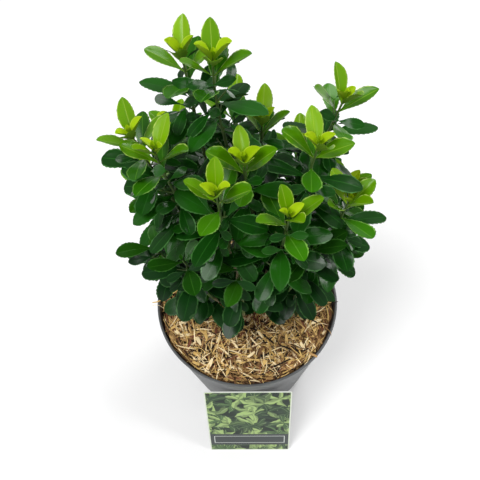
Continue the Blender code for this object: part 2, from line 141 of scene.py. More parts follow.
class Graph:
    """A node tree under construction, for a material or for Geometry Nodes."""

    def __init__(self, tree: bpy.types.NodeTree) -> None:
        """Start on a tree."""
        self.tree = tree

    @staticmethod
    def socket(sockets: bpy.types.bpy_prop_collection, key: str | int) -> Socket:
        """Find a socket by its place, or the one in use by its name.

        Args:
            sockets: a node's inputs or outputs.
            key: the socket's place or name.

        Returns:
            The socket.
        """
        if isinstance(key, int):
            return sockets[key]
        named = [socket for socket in sockets if socket.name == key]
        return next((socket for socket in named if socket.enabled), named[0])

    def fill(self, node: bpy.types.Node, inputs: dict[str | int, object]) -> None:
        """Set or link a node's inputs.

        Args:
            node: the node.
            inputs: what each input holds, a value or another node's output.
        """
        for key, value in inputs.items():
            target = self.socket(node.inputs, key)
            if isinstance(value, Socket):
                self.tree.links.new(value, target)
            else:
                target.default_value = value

    def node(self, kind: str, inputs: dict[str | int, object] | None = None,
             **settings: object) -> bpy.types.Node:
        """Add a node.

        Args:
            kind: the node's type.
            inputs: what each input holds, a value or another node's output.
            settings: the node's own settings.

        Returns:
            The new node.
        """
        made = self.tree.nodes.new(kind)
        for name, value in settings.items():
            setattr(made, name, value)
        self.fill(made, inputs or {})
        return made

    def out(self, kind: str, inputs: dict[str | int, object] | None = None, key: str | int = 0,
            **settings: object) -> Socket:
        """Add a node and give one of its outputs."""
        return self.socket(self.node(kind, inputs, **settings).outputs, key)

    def math(self, operation: str, *values: object) -> Socket:
        """Add a sum on numbers."""
        return self.out("ShaderNodeMath", dict(enumerate(values)), operation=operation)

    def vector(self, operation: str, *values: object, key: str | int = 0) -> Socket:
        """Add a sum on vectors."""
        return self.out("ShaderNodeVectorMath", dict(enumerate(values)), key=key, operation=operation)

    def mix(self, share: object, first: object, second: object) -> Socket:
        """Mix two colours."""
        inputs = {"Factor": share, "A": first, "B": second}
        return self.out("ShaderNodeMix", inputs, key="Result", data_type="RGBA")

    def step(self, value: object, low: float, high: float) -> Socket:
        """Rise smoothly from 0 to 1 as a value goes from low to high."""
        inputs = {"Value": value, "From Min": low, "From Max": high}
        return self.out("ShaderNodeMapRange", inputs, key="Result", interpolation_type="SMOOTHSTEP")

    def noise(self, place: Socket, scale: object, detail: float, roughness: float = 0.5,
              key: str | int = 0) -> Socket:
        """Add a noise."""
        inputs = {"Vector": place, "Scale": scale, "Detail": detail, "Roughness": roughness}
        return self.out("ShaderNodeTexNoise", inputs, key=key)


class ShaderGraph(Graph):
    """The node tree of a new material, round its one shader."""

    def __init__(self, name: str, shown: Colour) -> None:
        """Start a material.

        Args:
            name: its name.
            shown: the colour that a plain view shows it in.
        """
        self.made = bpy.data.materials.new(name)
        self.made.use_nodes = True
        self.made.diffuse_color = linear(shown)
        super().__init__(self.made.node_tree)

    def place(self) -> Socket:
        """Read the place on the piece."""
        return self.out("ShaderNodeTexCoord", key="Object")

    def bump(self, height: Socket, strength: float, depth: float) -> Socket:
        """Turn a pattern into a bump."""
        inputs = {"Strength": strength, "Distance": depth, "Height": height}
        return self.out("ShaderNodeBump", inputs, key="Normal")

    def dress(self, inputs: dict[str | int, object]) -> Material:
        """Set the shader's inputs."""
        self.fill(self.tree.nodes["Principled BSDF"], inputs)
        return self.made


class GeometryGraph(Graph):
    """A Geometry Nodes tree with named inputs, which is run on an object and leaves a plain mesh."""

    def __init__(self, name: str) -> None:
        """Start a tree.

        Args:
            name: the tree's name.
        """
        super().__init__(bpy.data.node_groups.new(name, "GeometryNodeTree"))
        for way in ("INPUT", "OUTPUT"):
            self.tree.interface.new_socket("Geometry", in_out=way, socket_type="NodeSocketGeometry")
        self.start = self.tree.nodes.new("NodeGroupInput")
        self.end = self.tree.nodes.new("NodeGroupOutput")

    def ask(self, name: str, kind: str) -> Socket:
        """Add a named input to the tree."""
        self.tree.interface.new_socket(name, in_out="INPUT", socket_type="NodeSocket" + kind)
        return self.start.outputs[name]

    def attribute(self, name: str, data_type: str) -> Socket:
        """Read a named attribute."""
        return self.out("GeometryNodeInputNamedAttribute", {"Name": name}, key="Attribute",
                        data_type=data_type)

    def random(self, low: object, high: object, seed: int, data_type: str = "FLOAT") -> Socket:
        """Draw a chance value at each point."""
        inputs = {"Min": low, "Max": high, "Seed": seed}
        return self.out("FunctionNodeRandomValue", inputs, key="Value", data_type=data_type)

    def copies(self, points: Socket, pick: Socket, turn: Socket, size: Socket, finishes: int) -> None:
        """End the tree with a copy of one of its shapes at each point.

        Args:
            points: the points.
            pick: the number of the shape at each.
            turn: how it is turned.
            size: how large it is.
            finishes: how many zones the shapes have.
        """
        inputs = {"Collection": self.ask("Shapes", "Collection"), "Separate Children": True,
                  "Reset Children": True}
        shelf = self.out("GeometryNodeCollectionInfo", inputs)
        inputs = {"Points": points, "Instance": shelf, "Pick Instance": True, "Instance Index": pick,
                  "Rotation": turn, "Scale": size}
        self.realize(self.out("GeometryNodeInstanceOnPoints", inputs), finishes)

    def realize(self, shapes: Socket, finishes: int) -> None:
        """End the tree: make the shapes real and give each zone of their faces its finish.

        Args:
            shapes: the instances or the mesh.
            finishes: how many zones there are, each with an input named Finish and its number.
        """
        shapes = self.out("GeometryNodeRealizeInstances", {"Geometry": shapes})
        zone = self.attribute("zone", "INT")
        for i in range(finishes):
            material = self.ask(f"Finish {i}", "Material")
            inputs = {"A": zone, "B": i}
            chosen = self.out("FunctionNodeCompare", inputs, data_type="INT", operation="EQUAL")
            inputs = {"Geometry": shapes, "Selection": chosen, "Material": material}
            shapes = self.out("GeometryNodeSetMaterial", inputs)
        self.tree.links.new(shapes, self.end.inputs[0])

    def run(self, item: bpy.types.Object, values: dict[str, object], finishes: Sequence[Material],
            shapes: Sequence[Mesh] = ()) -> Mesh:
        """Run the tree on an object, which is then removed.

        Args:
            item: the object.
            values: the tree's named inputs.
            finishes: the finish of each zone.
            shapes: the meshes that the tree copies, in the order of their numbers.

        Returns:
            The plain mesh that the tree makes.
        """
        values = values | {f"Finish {i}": finish for i, finish in enumerate(finishes)}
        shelf = bpy.data.collections.new("shapes")
        for i, shape in enumerate(shapes):
            shape.materials.append(finishes[0])
            shelf.objects.link(bpy.data.objects.new(f"shape_{i:03d}", shape))
        if shapes:
            values["Shapes"] = shelf
        modifier = item.modifiers.new(self.tree.name, "NODES")
        modifier.node_group = self.tree
        sockets = {s.name: s.identifier for s in self.tree.interface.items_tree if s.in_out == "INPUT"}
        for name, value in values.items():
            modifier[sockets[name]] = value
        mesh = baked(item)
        for spare in list(shelf.objects):
            bpy.data.objects.remove(spare)
        bpy.data.collections.remove(shelf)
        return mesh


def new_object(name: str, data: bpy.types.ID) -> bpy.types.Object:
    """Put data into the scene as an object at the origin.

    Args:
        name: the object's name.
        data: its mesh, curve, light or camera.

    Returns:
        The object.
    """
    item = bpy.data.objects.new(name, data)
    bpy.context.scene.collection.objects.link(item)
    return item


def baked(item: bpy.types.Object) -> Mesh:
    """Carry out an object's modifiers, and remove it.

    Args:
        item: the object.

    Returns:
        The plain mesh.
    """
    mesh = bpy.data.meshes.new_from_object(item.evaluated_get(bpy.context.evaluated_depsgraph_get()))
    item.modifiers.clear()
    bpy.data.objects.remove(item)
    return mesh


def add_piece(name: str, mesh: Mesh, slot: str, nodes: Sequence[str] = ()) -> None:
    """Add a finished mesh as a piece of the plant.

    Args:
        name: the piece's name.
        mesh: its mesh, in place.
        slot: the record's material slot that it stands under, which is only named in the log.
        nodes: the nodes that it stands for.
    """
    piece = new_object(name, mesh)
    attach(piece, BODY)
    if nodes:
        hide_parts(*nodes)
    triangles = sum(len(face.vertices) - 2 for face in mesh.polygons)
    LOG.info("%s: %d triangles, %s", name, triangles, slot)


def note(mesh: Mesh, name: str, kind: str, domain: str, values: Sequence[object]) -> None:
    """Store a value at each point or face of a mesh, for a tree to read."""
    layer = mesh.attributes.new(name, kind, domain)
    layer.data.foreach_set("value", np.array(values, np.int32 if kind == "INT" else np.float32).ravel())


def mesh_from(name: str, corners: Sequence[Vector], faces: Sequence[Sequence[int]],
              zones: Sequence[int] | None = None) -> Mesh:
    """Make a smooth mesh.

    Args:
        name: the mesh's name.
        corners: its vertices.
        faces: each face's vertices, by number.
        zones: each face's zone, which the trees give finishes by.

    Returns:
        The mesh.
    """
    mesh = bpy.data.meshes.new(name)
    mesh.from_pydata([tuple(corner) for corner in corners], [], [tuple(face) for face in faces])
    if zones is not None:
        note(mesh, "zone", "INT", "FACE", zones)
    mesh.shade_smooth()
    return mesh


@dataclass(frozen=True)
class Placement:
    """Where one copy of a shape goes: its place, its turn, its size and the shape's number."""

    spot: Vector
    turn: Quaternion
    size: float
    pick: int


class Scatter(GeometryGraph):
    """The tree that puts a shape at each point, picked, turned and sized by the point's attributes."""

    def __init__(self, name: str, finishes: Sequence[Material]) -> None:
        """Build the tree.

        Args:
            name: the tree's name.
            finishes: the finish of each zone.
        """
        super().__init__(name)
        self.finishes = finishes
        self.copies(self.start.outputs[0], self.attribute("pick", "INT"),
                    self.attribute("turn", "QUATERNION"), self.attribute("size", "FLOAT"), len(finishes))

    def place(self, placements: Sequence[Placement], shapes: Sequence[Mesh]) -> Mesh:
        """Put the shapes in their places.

        Args:
            placements: where each copy goes.
            shapes: the shapes, in the order that the placements number them.

        Returns:
            The copies as one mesh.
        """
        points = bpy.data.meshes.new(self.tree.name)
        points.from_pydata([tuple(placement.spot) for placement in placements], [], [])
        note(points, "turn", "QUATERNION", "POINT", [tuple(placement.turn) for placement in placements])
        note(points, "size", "FLOAT", "POINT", [placement.size for placement in placements])
        note(points, "pick", "INT", "POINT", [placement.pick for placement in placements])
        return self.run(new_object(self.tree.name, points), {}, self.finishes, shapes)


# Finishes

@dataclass(frozen=True)
class PlainFinish:
    """A surface of one colour, which small things get by turns."""

    name: str
    colour: Colour
    roughness: float = 0.5
    specular: float = 0.5

    def material(self) -> Material:
        """Make the material, or give the one made before.

        Returns:
            The material.
        """
        inputs = {"Base Color": linear(self.colour), "Roughness": self.roughness,
                  "Specular IOR Level": self.specular}
        return bpy.data.materials.get(self.name) or ShaderGraph(self.name, self.colour).dress(inputs)


@dataclass(frozen=True)
class Pattern:
    """A noise, or spots, on a surface, drawn out along the height where its stretch is under 1.

    As a layer of a finish it shows in its colour where it passes its steps, by its share.
    """

    scale: float
    detail: float = 2.0
    roughness: float = 0.5
    stretch: float = 1.0
    spots: bool = False
    colour: Colour = (0, 0, 0)
    steps: Pair = (0.0, 1.0)
    share: float = 1.0
    rougher: float = 0.0

    def lay(self, graph: ShaderGraph) -> Socket:
        """Add the pattern to a material.

        Args:
            graph: the material's graph.

        Returns:
            How strong the pattern is.
        """
        place = graph.vector("MULTIPLY", graph.place(), (1.0, 1.0, self.stretch))
        if self.spots:
            return graph.out("ShaderNodeTexVoronoi", {"Vector": place, "Scale": self.scale}, key="Distance")
        return graph.noise(place, self.scale, self.detail, self.roughness)


@dataclass(frozen=True)
class PatternedFinish:
    """A surface with layers of other colours over its own and a fine grain."""

    name: str
    colour: Colour
    layers: tuple[Pattern, ...]
    grain: Pattern
    grain_strength: float
    grain_depth: float
    roughness: float

    def material(self) -> Material:
        """Make the material.

        Returns:
            The material.
        """
        graph = ShaderGraph(self.name, self.colour)
        colour, roughness = linear(self.colour), self.roughness
        for layer in self.layers:
            shown = graph.step(layer.lay(graph), *layer.steps)
            colour = graph.mix(graph.math("MULTIPLY", shown, layer.share), colour, linear(layer.colour))
            if layer.rougher:
                roughness = graph.math("MULTIPLY_ADD", shown, layer.rougher, roughness)
        normal = graph.bump(self.grain.lay(graph), self.grain_strength, self.grain_depth)
        return graph.dress({"Base Color": colour, "Roughness": roughness, "Normal": normal})


# Dark grey moulded plastic with faint flow streaks, pale upright scuffs and a matt grain
POT_PLASTIC = PatternedFinish("pot_plastic", (76, 78, 79), (
    Pattern(34.0, 3.0, colour=(86, 88, 89), steps=(0.35, 0.70), rougher=0.06),
    Pattern(270.0, 5.0, 0.7, 0.12, colour=(128, 129, 128), steps=(0.60, 0.72), share=0.35),
), Pattern(1400.0), 0.10, 0.0004, 0.43)
# Olive brown young bark with grey patches, pale pores and fine furrows
BARK = PatternedFinish("bark", (98, 90, 54), (
    Pattern(70.0, 4.0, colour=(124, 118, 92), steps=(0.40, 0.62)),
    Pattern(520.0, spots=True, colour=(124, 118, 92), steps=(0.26, 0.12), share=0.4),
), Pattern(420.0, 3.0, stretch=0.16), 0.5, 0.0006, 0.78)
# Dark damp potting soil with paler crumbs
SOIL = PatternedFinish("potting_soil", (44, 30, 20), (
    Pattern(620.0, 4.0, colour=(116, 84, 50), steps=(0.42, 0.68)),
), Pattern(620.0, 4.0), 0.7, 0.001, 0.92)


@dataclass(frozen=True)
class LeafyPrint:
    """A glossy print: rosettes of leaves over dark ground, with a plain dark band that has a pale outline."""

    ground: Colour = (30, 41, 35)
    shade: Colour = (52, 70, 53)
    greens: tuple[Colour, Colour, Colour] = ((54, 78, 51), (82, 113, 67), (166, 193, 120))
    vein: Colour = (176, 198, 150)
    outline: Colour = (214, 220, 214)
    edge: Colour = (222, 230, 212)
    panel: Colour = (66, 72, 72)
    dot: Colour = (40, 36, 34)
    layers: tuple[tuple[float, float, int], ...] = (
        (2.3, 0.0, 6), (2.7, 3.7, 5), (2.2, 8.1, 6), (2.9, 12.9, 5), (2.5, 21.4, 4),
    )
    slant: float = 0.7
    jumble: float = 0.7
    spin: float = 9.0
    leaf_reach: float = 0.54
    leaf_width: float = 0.816
    blunt: float = 0.8
    margin_steps: Pair = (-0.03, 0.05)
    rib_steps: Pair = (0.004, 0.030)
    half_steps: Pair = (-0.03, 0.03)
    middle_steps: Pair = (0.2, 0.8)
    pale_steps: Pair = (1.05, 1.45)
    half_share: float = 0.45
    rib_share: float = 0.40
    heart_share: float = 0.75
    heart_reach: float = 0.55
    blur: float = 0.16
    blur_scale: float = 5.0
    streak_scale: float = 1.6
    streak_stretch: Triple = (3.0, 9.0, 1.0)
    streak_steps: Pair = (0.40, 0.66)
    band_foot: float = 0.10
    band_top: float = 0.30
    insets: tuple[Pair, ...] = ((0.0, 0.0), (0.06, 0.05), (0.069, 0.059))
    border: float = 0.014
    dot_radius: float = 0.022
    dot_inset: float = 0.045
    roughness: float = 0.42
    specular: float = 0.20

    def rosettes(self, graph: Graph, place: Socket, layer: tuple[float, float, int], under: Socket) -> Socket:
        """Lay one layer of rosettes over a colour.

        Args:
            graph: the material's graph.
            place: the print's coordinates.
            layer: how many rosettes there are across, what sets them off, and each one's leaves.
            under: the colour under the layer.

        Returns:
            The colour with the rosettes on it.
        """
        scale, shift, petals = layer
        moved = graph.vector("ADD", place, (shift, shift * self.slant, 0.0))
        inputs = {"Vector": moved, "Scale": scale, "Randomness": self.jumble}
        cell = graph.node("ShaderNodeTexVoronoi", inputs, voronoi_dimensions="2D")
        away = graph.vector("SUBTRACT", moved, cell.outputs["Position"])
        parts = graph.node("ShaderNodeSeparateXYZ", {0: away})
        tint = graph.node("ShaderNodeSeparateColor", {0: cell.outputs["Color"]})
        far = graph.math("MULTIPLY", graph.vector("LENGTH", away, key="Value"), scale / self.leaf_reach)
        bearing = graph.math("ARCTAN2", parts.outputs["Y"], parts.outputs["X"])
        start = graph.math("MULTIPLY", tint.outputs[0], self.spin)
        turns = graph.math("MULTIPLY_ADD", bearing, petals / math.tau, start)
        off = graph.math("SUBTRACT", graph.math("FRACT", turns), 0.5)
        sine = graph.math("SINE", graph.math("MULTIPLY", off, math.tau / petals))
        across = graph.math("MULTIPLY", sine, far)
        rise = graph.math("MULTIPLY", graph.math("POWER", far, self.blunt), self.leaf_width)
        outline = graph.math("MULTIPLY", rise, graph.math("SUBTRACT", 1.0, far))
        off_rib = graph.math("ABSOLUTE", across)
        mask = graph.step(graph.math("SUBTRACT", outline, off_rib), *self.margin_steps)
        rib = graph.math("SUBTRACT", 1.0, graph.step(off_rib, *self.rib_steps))
        half = graph.step(across, *self.half_steps)
        leaf_number = graph.math("FLOOR", turns)
        spread = graph.out("ShaderNodeTexWhiteNoise", {"W": leaf_number}, key="Value", noise_dimensions="1D")
        low, middle, high = (linear(green) for green in self.greens)
        colour = graph.mix(graph.step(tint.outputs[1], *self.middle_steps), low, middle)
        pale = graph.step(graph.math("ADD", tint.outputs[2], spread), *self.pale_steps)
        colour = graph.mix(pale, colour, high)
        colour = graph.mix(graph.math("MULTIPLY", half, self.half_share), colour, linear(self.shade))
        colour = graph.mix(graph.math("MULTIPLY", rib, self.rib_share), colour, linear(self.vein))
        heart = graph.math("SUBTRACT", self.heart_share, graph.step(far, 0.0, self.heart_reach))
        colour = graph.mix(heart, colour, linear(self.ground))
        return graph.mix(mask, under, colour)

    @staticmethod
    def box(graph: Graph, place: Socket, low: Sequence[float], high: Sequence[float]) -> Socket:
        """Mark the inside of an upright rectangle.

        Args:
            graph: the material's graph.
            place: the print's coordinates.
            low: the corner at its left and foot.
            high: the corner at its right and top.

        Returns:
            1 inside and 0 outside.
        """
        parts = graph.node("ShaderNodeSeparateXYZ", {0: place})
        inside = 1.0
        for i in range(2):
            over = graph.math("GREATER_THAN", parts.outputs[i], low[i])
            under = graph.math("LESS_THAN", parts.outputs[i], high[i])
            inside = graph.math("MULTIPLY", inside, graph.math("MULTIPLY", over, under))
        return inside

    def material(self, tall: float) -> Material:
        """Make the material.

        Args:
            tall: the card's height as a multiple of its width, which its map's V reaches to.

        Returns:
            The material.
        """
        graph = ShaderGraph("card_print", self.ground)
        place = graph.out("ShaderNodeUVMap", uv_map=PictureCard.MAP)
        stir = graph.noise(place, self.blur_scale, 2.0, key="Color")
        bend = graph.out("ShaderNodeVectorMath", {0: stir, "Scale": self.blur}, operation="SCALE")
        bent = graph.vector("ADD", place, bend)
        drawn = graph.vector("MULTIPLY", bent, self.streak_stretch)
        streaks = graph.noise(drawn, self.streak_scale, 3.0)
        colour = graph.mix(graph.step(streaks, *self.streak_steps), linear(self.ground), linear(self.shade))
        for layer in self.layers:
            colour = self.rosettes(graph, bent, layer, colour)
        for (x, y), tint in zip(self.insets, (self.panel, self.outline, self.panel)):
            inside = self.box(graph, place, (x, self.band_foot * tall + y), (1 - x, self.band_top * tall - y))
            colour = graph.mix(inside, colour, linear(tint))
        for middle in (self.dot_inset, 1 - self.dot_inset):
            far = graph.vector("DISTANCE", place, (middle, tall - self.dot_inset, 0.0), key="Value")
            colour = graph.mix(graph.math("LESS_THAN", far, self.dot_radius), colour, linear(self.dot))
        corner = (1 - self.border, tall - self.border)
        printed = self.box(graph, place, (self.border, self.border), corner)
        return graph.dress({"Base Color": graph.mix(printed, linear(self.edge), colour),
                            "Roughness": self.roughness, "Specular IOR Level": self.specular})


# Pot, bed and card

@dataclass
class NurseryPot:
    """The tapered nursery pot: a turned shell with a collar band, a lip and drain holes."""

    height: float = 0.153
    rim_radius: float = 0.095
    base_radius: float = 0.0727
    wall: float = 0.0014
    floor: float = 0.0022
    chamfer: float = 0.002
    sides: int = 144
    collar_height: float = 0.010
    collar_proud: float = 0.0009
    lip_height: float = 0.0022
    lip_round: float = 0.0005
    drain_holes: int = 6
    drain_radius: float = 0.005
    drain_circle: float = 0.052
    drain_bearing: float = math.radians(23)
    hole_sides: int = 24
    foot_groove: float = 0.0012
    foot_ring: Pair = (0.008, 0.009)
    skirt: float = 0.012
    fillet: float = 0.003
    collar_draft: float = 0.62
    merge: float = 0.00001
    arc_steps: int = 5
    crisp: float = math.radians(35)
    finish: PatternedFinish = POT_PLASTIC

    def wall_radius(self, height: float) -> float:
        """Give the outer radius of the tapering wall, under the collar."""
        top = self.rim_radius - self.collar_proud
        return self.base_radius + (top - self.base_radius) * height / self.height

    def profile(self) -> list[Pair]:
        """Give the shell's outline, from the inside of its floor round to its underside.

        Returns:
            Its points, as radius and height.
        """
        bow, steps, proud = self.lip_round, self.arc_steps, self.collar_proud * self.collar_draft
        collar_foot, lip_foot = self.height - self.collar_height, self.height - self.lip_height
        inner_rim = self.wall_radius(self.height) - self.wall
        inner_floor = self.wall_radius(self.floor) - self.wall
        outer, inner = (self.base_radius - inset for inset in self.foot_ring)
        return [
            (0.0, self.floor), (inner_floor - self.fillet, self.floor),
            (inner_floor, self.floor + self.fillet),
            *arc(inner_rim + bow, self.height - bow, bow, 180, 90, steps),
            *arc(self.rim_radius - bow, self.height - bow, bow, 90, 0, steps),
            *arc(self.rim_radius - bow, lip_foot + bow, bow, 0, -80, steps),
            (self.wall_radius(lip_foot) + proud, lip_foot - bow),
            *arc(self.wall_radius(collar_foot) + proud - bow, collar_foot + bow, bow, 0, -90, steps),
            (self.wall_radius(collar_foot), collar_foot), (self.wall_radius(self.skirt), self.skirt),
            (self.wall_radius(self.chamfer), self.chamfer), (self.base_radius - self.chamfer, 0.0),
            (outer, 0.0), (inner, self.foot_groove), (0.0, self.foot_groove),
        ]

    def shell(self) -> Mesh:
        """Turn the outline round the Z axis into a closed shell.

        Returns:
            The shell.
        """
        body = bmesh.new()
        verts = [body.verts.new((radius, 0.0, height)) for radius, height in self.profile()]
        edges = [body.edges.new(pair) for pair in zip(verts, verts[1:])]
        bmesh.ops.spin(body, geom=verts + edges, cent=(0, 0, 0), axis=(0, 0, 1), angle=math.tau,
                       steps=self.sides, use_merge=True)
        bmesh.ops.remove_doubles(body, verts=body.verts, dist=self.merge)
        bmesh.ops.recalc_face_normals(body, faces=body.faces)
        mesh = bpy.data.meshes.new("pot_shell")
        body.to_mesh(mesh)
        body.free()
        return mesh

    def drill(self, shell: Mesh) -> Mesh:
        """Cut the drain holes.

        Args:
            shell: the pot's shell.

        Returns:
            The shell with the holes.
        """
        body = bmesh.new()
        for i in range(self.drain_holes):
            bearing = self.drain_bearing + math.tau * i / self.drain_holes
            middle = (*polar(self.drain_circle, bearing), 0.0)
            bmesh.ops.create_cone(body, cap_ends=True, segments=self.hole_sides, radius1=self.drain_radius,
                                  radius2=self.drain_radius, depth=6 * self.floor,
                                  matrix=Matrix.Translation(middle))
        pins = bpy.data.meshes.new("drain_pins")
        body.to_mesh(pins)
        body.free()
        cutter = new_object("drain_pins", pins)
        item = new_object("pot_shell", shell)
        cut = item.modifiers.new("drain", "BOOLEAN")
        cut.operation = "DIFFERENCE"
        cut.object = cutter
        mesh = baked(item)
        bpy.data.objects.remove(cutter)
        return mesh

    def build(self) -> None:
        """Build the pot and dress it."""
        mesh = self.drill(self.shell())
        mesh.materials.clear()
        mesh.materials.append(self.finish.material())
        mesh.shade_smooth()
        mesh.set_sharp_from_angle(angle=self.crisp)
        add_piece("nursery_pot", mesh, "pot_plastic", ["pot"])


class Scrap(Enum):
    """The kinds of piece in the mulch."""

    STALK = auto()
    CHIP = auto()
    FIBRE = auto()
    CRUMB = auto()


@dataclass(frozen=True)
class ScrapForm:
    """How one kind of scrap measures: the least and greatest length, width and thickness, and its bend."""

    share: float
    lengths: Pair
    widths: Pair
    thick: float
    bend: float
    sections: int
    sides: int


@dataclass(frozen=True)
class StrewnLayer:
    """One layer of scraps: which kinds and finishes it has, how many, how far off the wall and how deep."""

    name: str
    kinds: tuple[Scrap, ...]
    shares: tuple[float, ...]
    count: int
    gap: float
    depth: float
    lift: float
    seed: int


@dataclass
class MulchBed:
    """The bed that fills the pot: soil under a loose layer of chopped straw and wood shavings."""

    pot: NurseryPot
    top: float = 0.1455
    relief: float = 0.0044
    lump: float = 0.016
    flat_radius: float = 0.030
    base_drop: float = 0.0024
    grit: float = 0.0008
    grit_scale: float = 260.0
    rings: int = 40
    spokes: int = 96
    patch_rings: int = 16
    patch_spokes: int = 48
    templates: int = 84
    tilt: float = math.radians(20)
    sizes: Pair = (0.8, 1.2)
    girth: float = 1.4
    weave_share: float = 0.6
    torn: Pair = (0.35, 0.95)
    split: float = 0.04
    forms: dict[Scrap, ScrapForm] = field(default_factory=lambda: {
        Scrap.STALK: ScrapForm(0.48, (0.009, 0.024), (0.0006, 0.0014), 0.0006, 0.06, 4, 4),
        Scrap.CHIP: ScrapForm(0.12, (0.006, 0.014), (0.0018, 0.0032), 0.0009, 0.05, 3, 4),
        Scrap.FIBRE: ScrapForm(0.30, (0.012, 0.026), (0.00040, 0.0007), 0.0004, 0.14, 5, 3),
        Scrap.CRUMB: ScrapForm(0.24, (0.002, 0.005), (0.0008, 0.0018), 0.0009, 0.12, 2, 4),
    })
    finishes: tuple[PlainFinish, ...] = tuple(
        PlainFinish("straw_" + name, colour, roughness, 0.3) for name, colour, roughness in (
            ("cream", (250, 228, 180), 0.58), ("gold", (220, 184, 112), 0.58), ("tan", (178, 140, 88), 0.68),
            ("brown", (122, 88, 54), 0.78), ("russet", (124, 74, 52), 0.78), ("dark", (44, 33, 24), 0.85),
        ))
    shares: tuple[float, ...] = (0.10, 0.22, 0.28, 0.22, 0.05, 0.13)
    pale_shares: tuple[float, ...] = (0.42, 0.34, 0.12, 0.04, 0.05, 0.03)
    long_kinds: tuple[Scrap, ...] = (Scrap.STALK, Scrap.CHIP, Scrap.FIBRE)
    wall_scraps: int = 620
    wall_band: Pair = (0.0016, 0.0100)
    wall_depth: float = 0.0028
    wall_reach: float = 0.011
    wall_turn: float = 0.006
    wall_skew: float = 0.5
    wall_tip: float = 0.2
    wall_sizes: Pair = (0.7, 1.0)
    stray_inset: float = 0.0035
    stray_lift: float = 0.0011
    stray_forms: tuple[tuple[Scrap, int], ...] = (
        (Scrap.STALK, 1), (Scrap.FIBRE, 0), (Scrap.STALK, 5), (Scrap.FIBRE, 2), (Scrap.CHIP, 2),
        (Scrap.FIBRE, 1), (Scrap.STALK, 3),
    )
    strays: tuple[tuple[float, float, float, float], ...] = (
        (178, 12, 8, 1.0), (184, -20, 4, 0.9), (-8, 30, -6, 1.0), (-28, -34, 3, 0.9), (-47, 16, 4, 1.0),
        (150, 35, -4, 0.9), (70, -20, 5, 1.0),
    )

    def bed_radius(self, height: float) -> float:
        """Give the bed's radius at a height, just clear of the pot's wall."""
        return self.pot.wall_radius(height) - self.pot.wall - CLEAR

    def layers(self) -> tuple[StrewnLayer, ...]:
        """List the layers that are strewn on the bed.

        Returns:
            The layers.
        """
        long, short = self.long_kinds, (Scrap.CRUMB, Scrap.CHIP)
        return (StrewnLayer("straw", long, self.shares, 2160, 0.0096, 0.0040, 0.0, SEED),
                StrewnLayer("pale_straw", long, self.pale_shares, 460, 0.0096, 0.0020, 0.0024, SEED + 3),
                StrewnLayer("wood_crumbs", short, self.shares, 1440, 0.0048, 0.0020, 0.0, SEED + 1))

    def surface(self, x: float, y: float) -> float:
        """Give the height of the bed's lumpy top.

        Args:
            x: the place across.
            y: the place from front to back.

        Returns:
            The height.
        """
        radius = math.hypot(x, y)
        if radius <= self.flat_radius:
            return self.top
        share = min(1.0, (radius - self.flat_radius) / self.lump)
        return self.top + self.relief * share * noise.noise(Vector((x, y, self.top)) / self.lump)

    def patch(self, radius: float, rings: int, spokes: int) -> list[Triple]:
        """Give the places on the bed's top that a round patch's vertices have.

        Args:
            radius: the patch's radius.
            rings: how many rings it has.
            spokes: how many vertices each ring has.

        Returns:
            The middle's place and then those of the rings, from the inmost out.
        """
        places = [polar(radius * ring / rings, math.tau * spoke / spokes)
                  for ring in range(1, rings + 1) for spoke in range(spokes)]
        return [(0.0, 0.0, self.top)] + [(x, y, self.surface(x, y)) for x, y in places]

    def base(self) -> Mesh:
        """Make the soil: a closed body under the straw, as wide as the pot is inside.

        Returns:
            The soil.
        """
        foot = self.pot.floor + CLEAR
        low = self.bed_radius(foot)
        (x, y, z), *rest = self.patch(self.bed_radius(self.top), self.rings, self.spokes)
        corners = [Vector((x, y, z - self.base_drop))]
        for x, y, z in rest:
            grit = self.grit * noise.noise(Vector((x, y, 0.0)) * self.grit_scale)
            corners.append(Vector((x, y, z - self.base_drop + grit)))
        corners += [Vector((*polar(low, math.tau * spoke / self.spokes), foot))
                    for spoke in range(self.spokes)]
        corners.append(Vector((0.0, 0.0, foot)))
        last = 1 + self.rings * self.spokes
        faces = web(self.rings + 1, self.spokes)
        faces += [(last + i, len(corners) - 1, last + (i + 1) % self.spokes) for i in range(self.spokes)]
        mesh = mesh_from("soil", corners, faces)
        mesh.materials.append(SOIL.material())
        return mesh

    def scrap_mesh(self, number: int, kind: Scrap, zone: int, chance: random.Random) -> Mesh:
        """Make one scrap, lying along X: a bent, split sliver with torn ends.

        Args:
            number: its number.
            kind: what it is.
            zone: which finish it gets.
            chance: the source of its chances.

        Returns:
            The mesh.
        """
        form = self.forms[kind]
        length = chance.uniform(*form.lengths)
        width = chance.uniform(*form.widths)
        swerve, weave, arch, swell = (chance.uniform(-1, 1) for _ in range(4))
        bend, girth = length * form.bend, self.girth / 2
        corners = []
        for i in range(form.sections + 1):
            t = i / form.sections
            bow, wave = math.sin(math.pi * t), math.sin(math.tau * t)
            middle = Vector((length * (t - 0.5), bend * (swerve * bow + self.weave_share * weave * wave),
                             bend / 2 * (abs(arch) * bow + swell * wave / 2)))
            torn = 1.0 if 0 < i < form.sections else chance.uniform(*self.torn)
            for side in range(form.sides):
                angle = math.tau * (side + 0.5) / form.sides
                across, rise = polar(girth * torn, angle)
                split = chance.uniform(-self.split, self.split)
                corners.append(middle + Vector((split * width, across * width, rise * form.thick)))
        faces = tube(form.sections + 1, form.sides)
        mesh = mesh_from(f"scrap_{number:03d}", corners, faces, [zone] * len(faces))
        mesh.shade_flat()
        return mesh

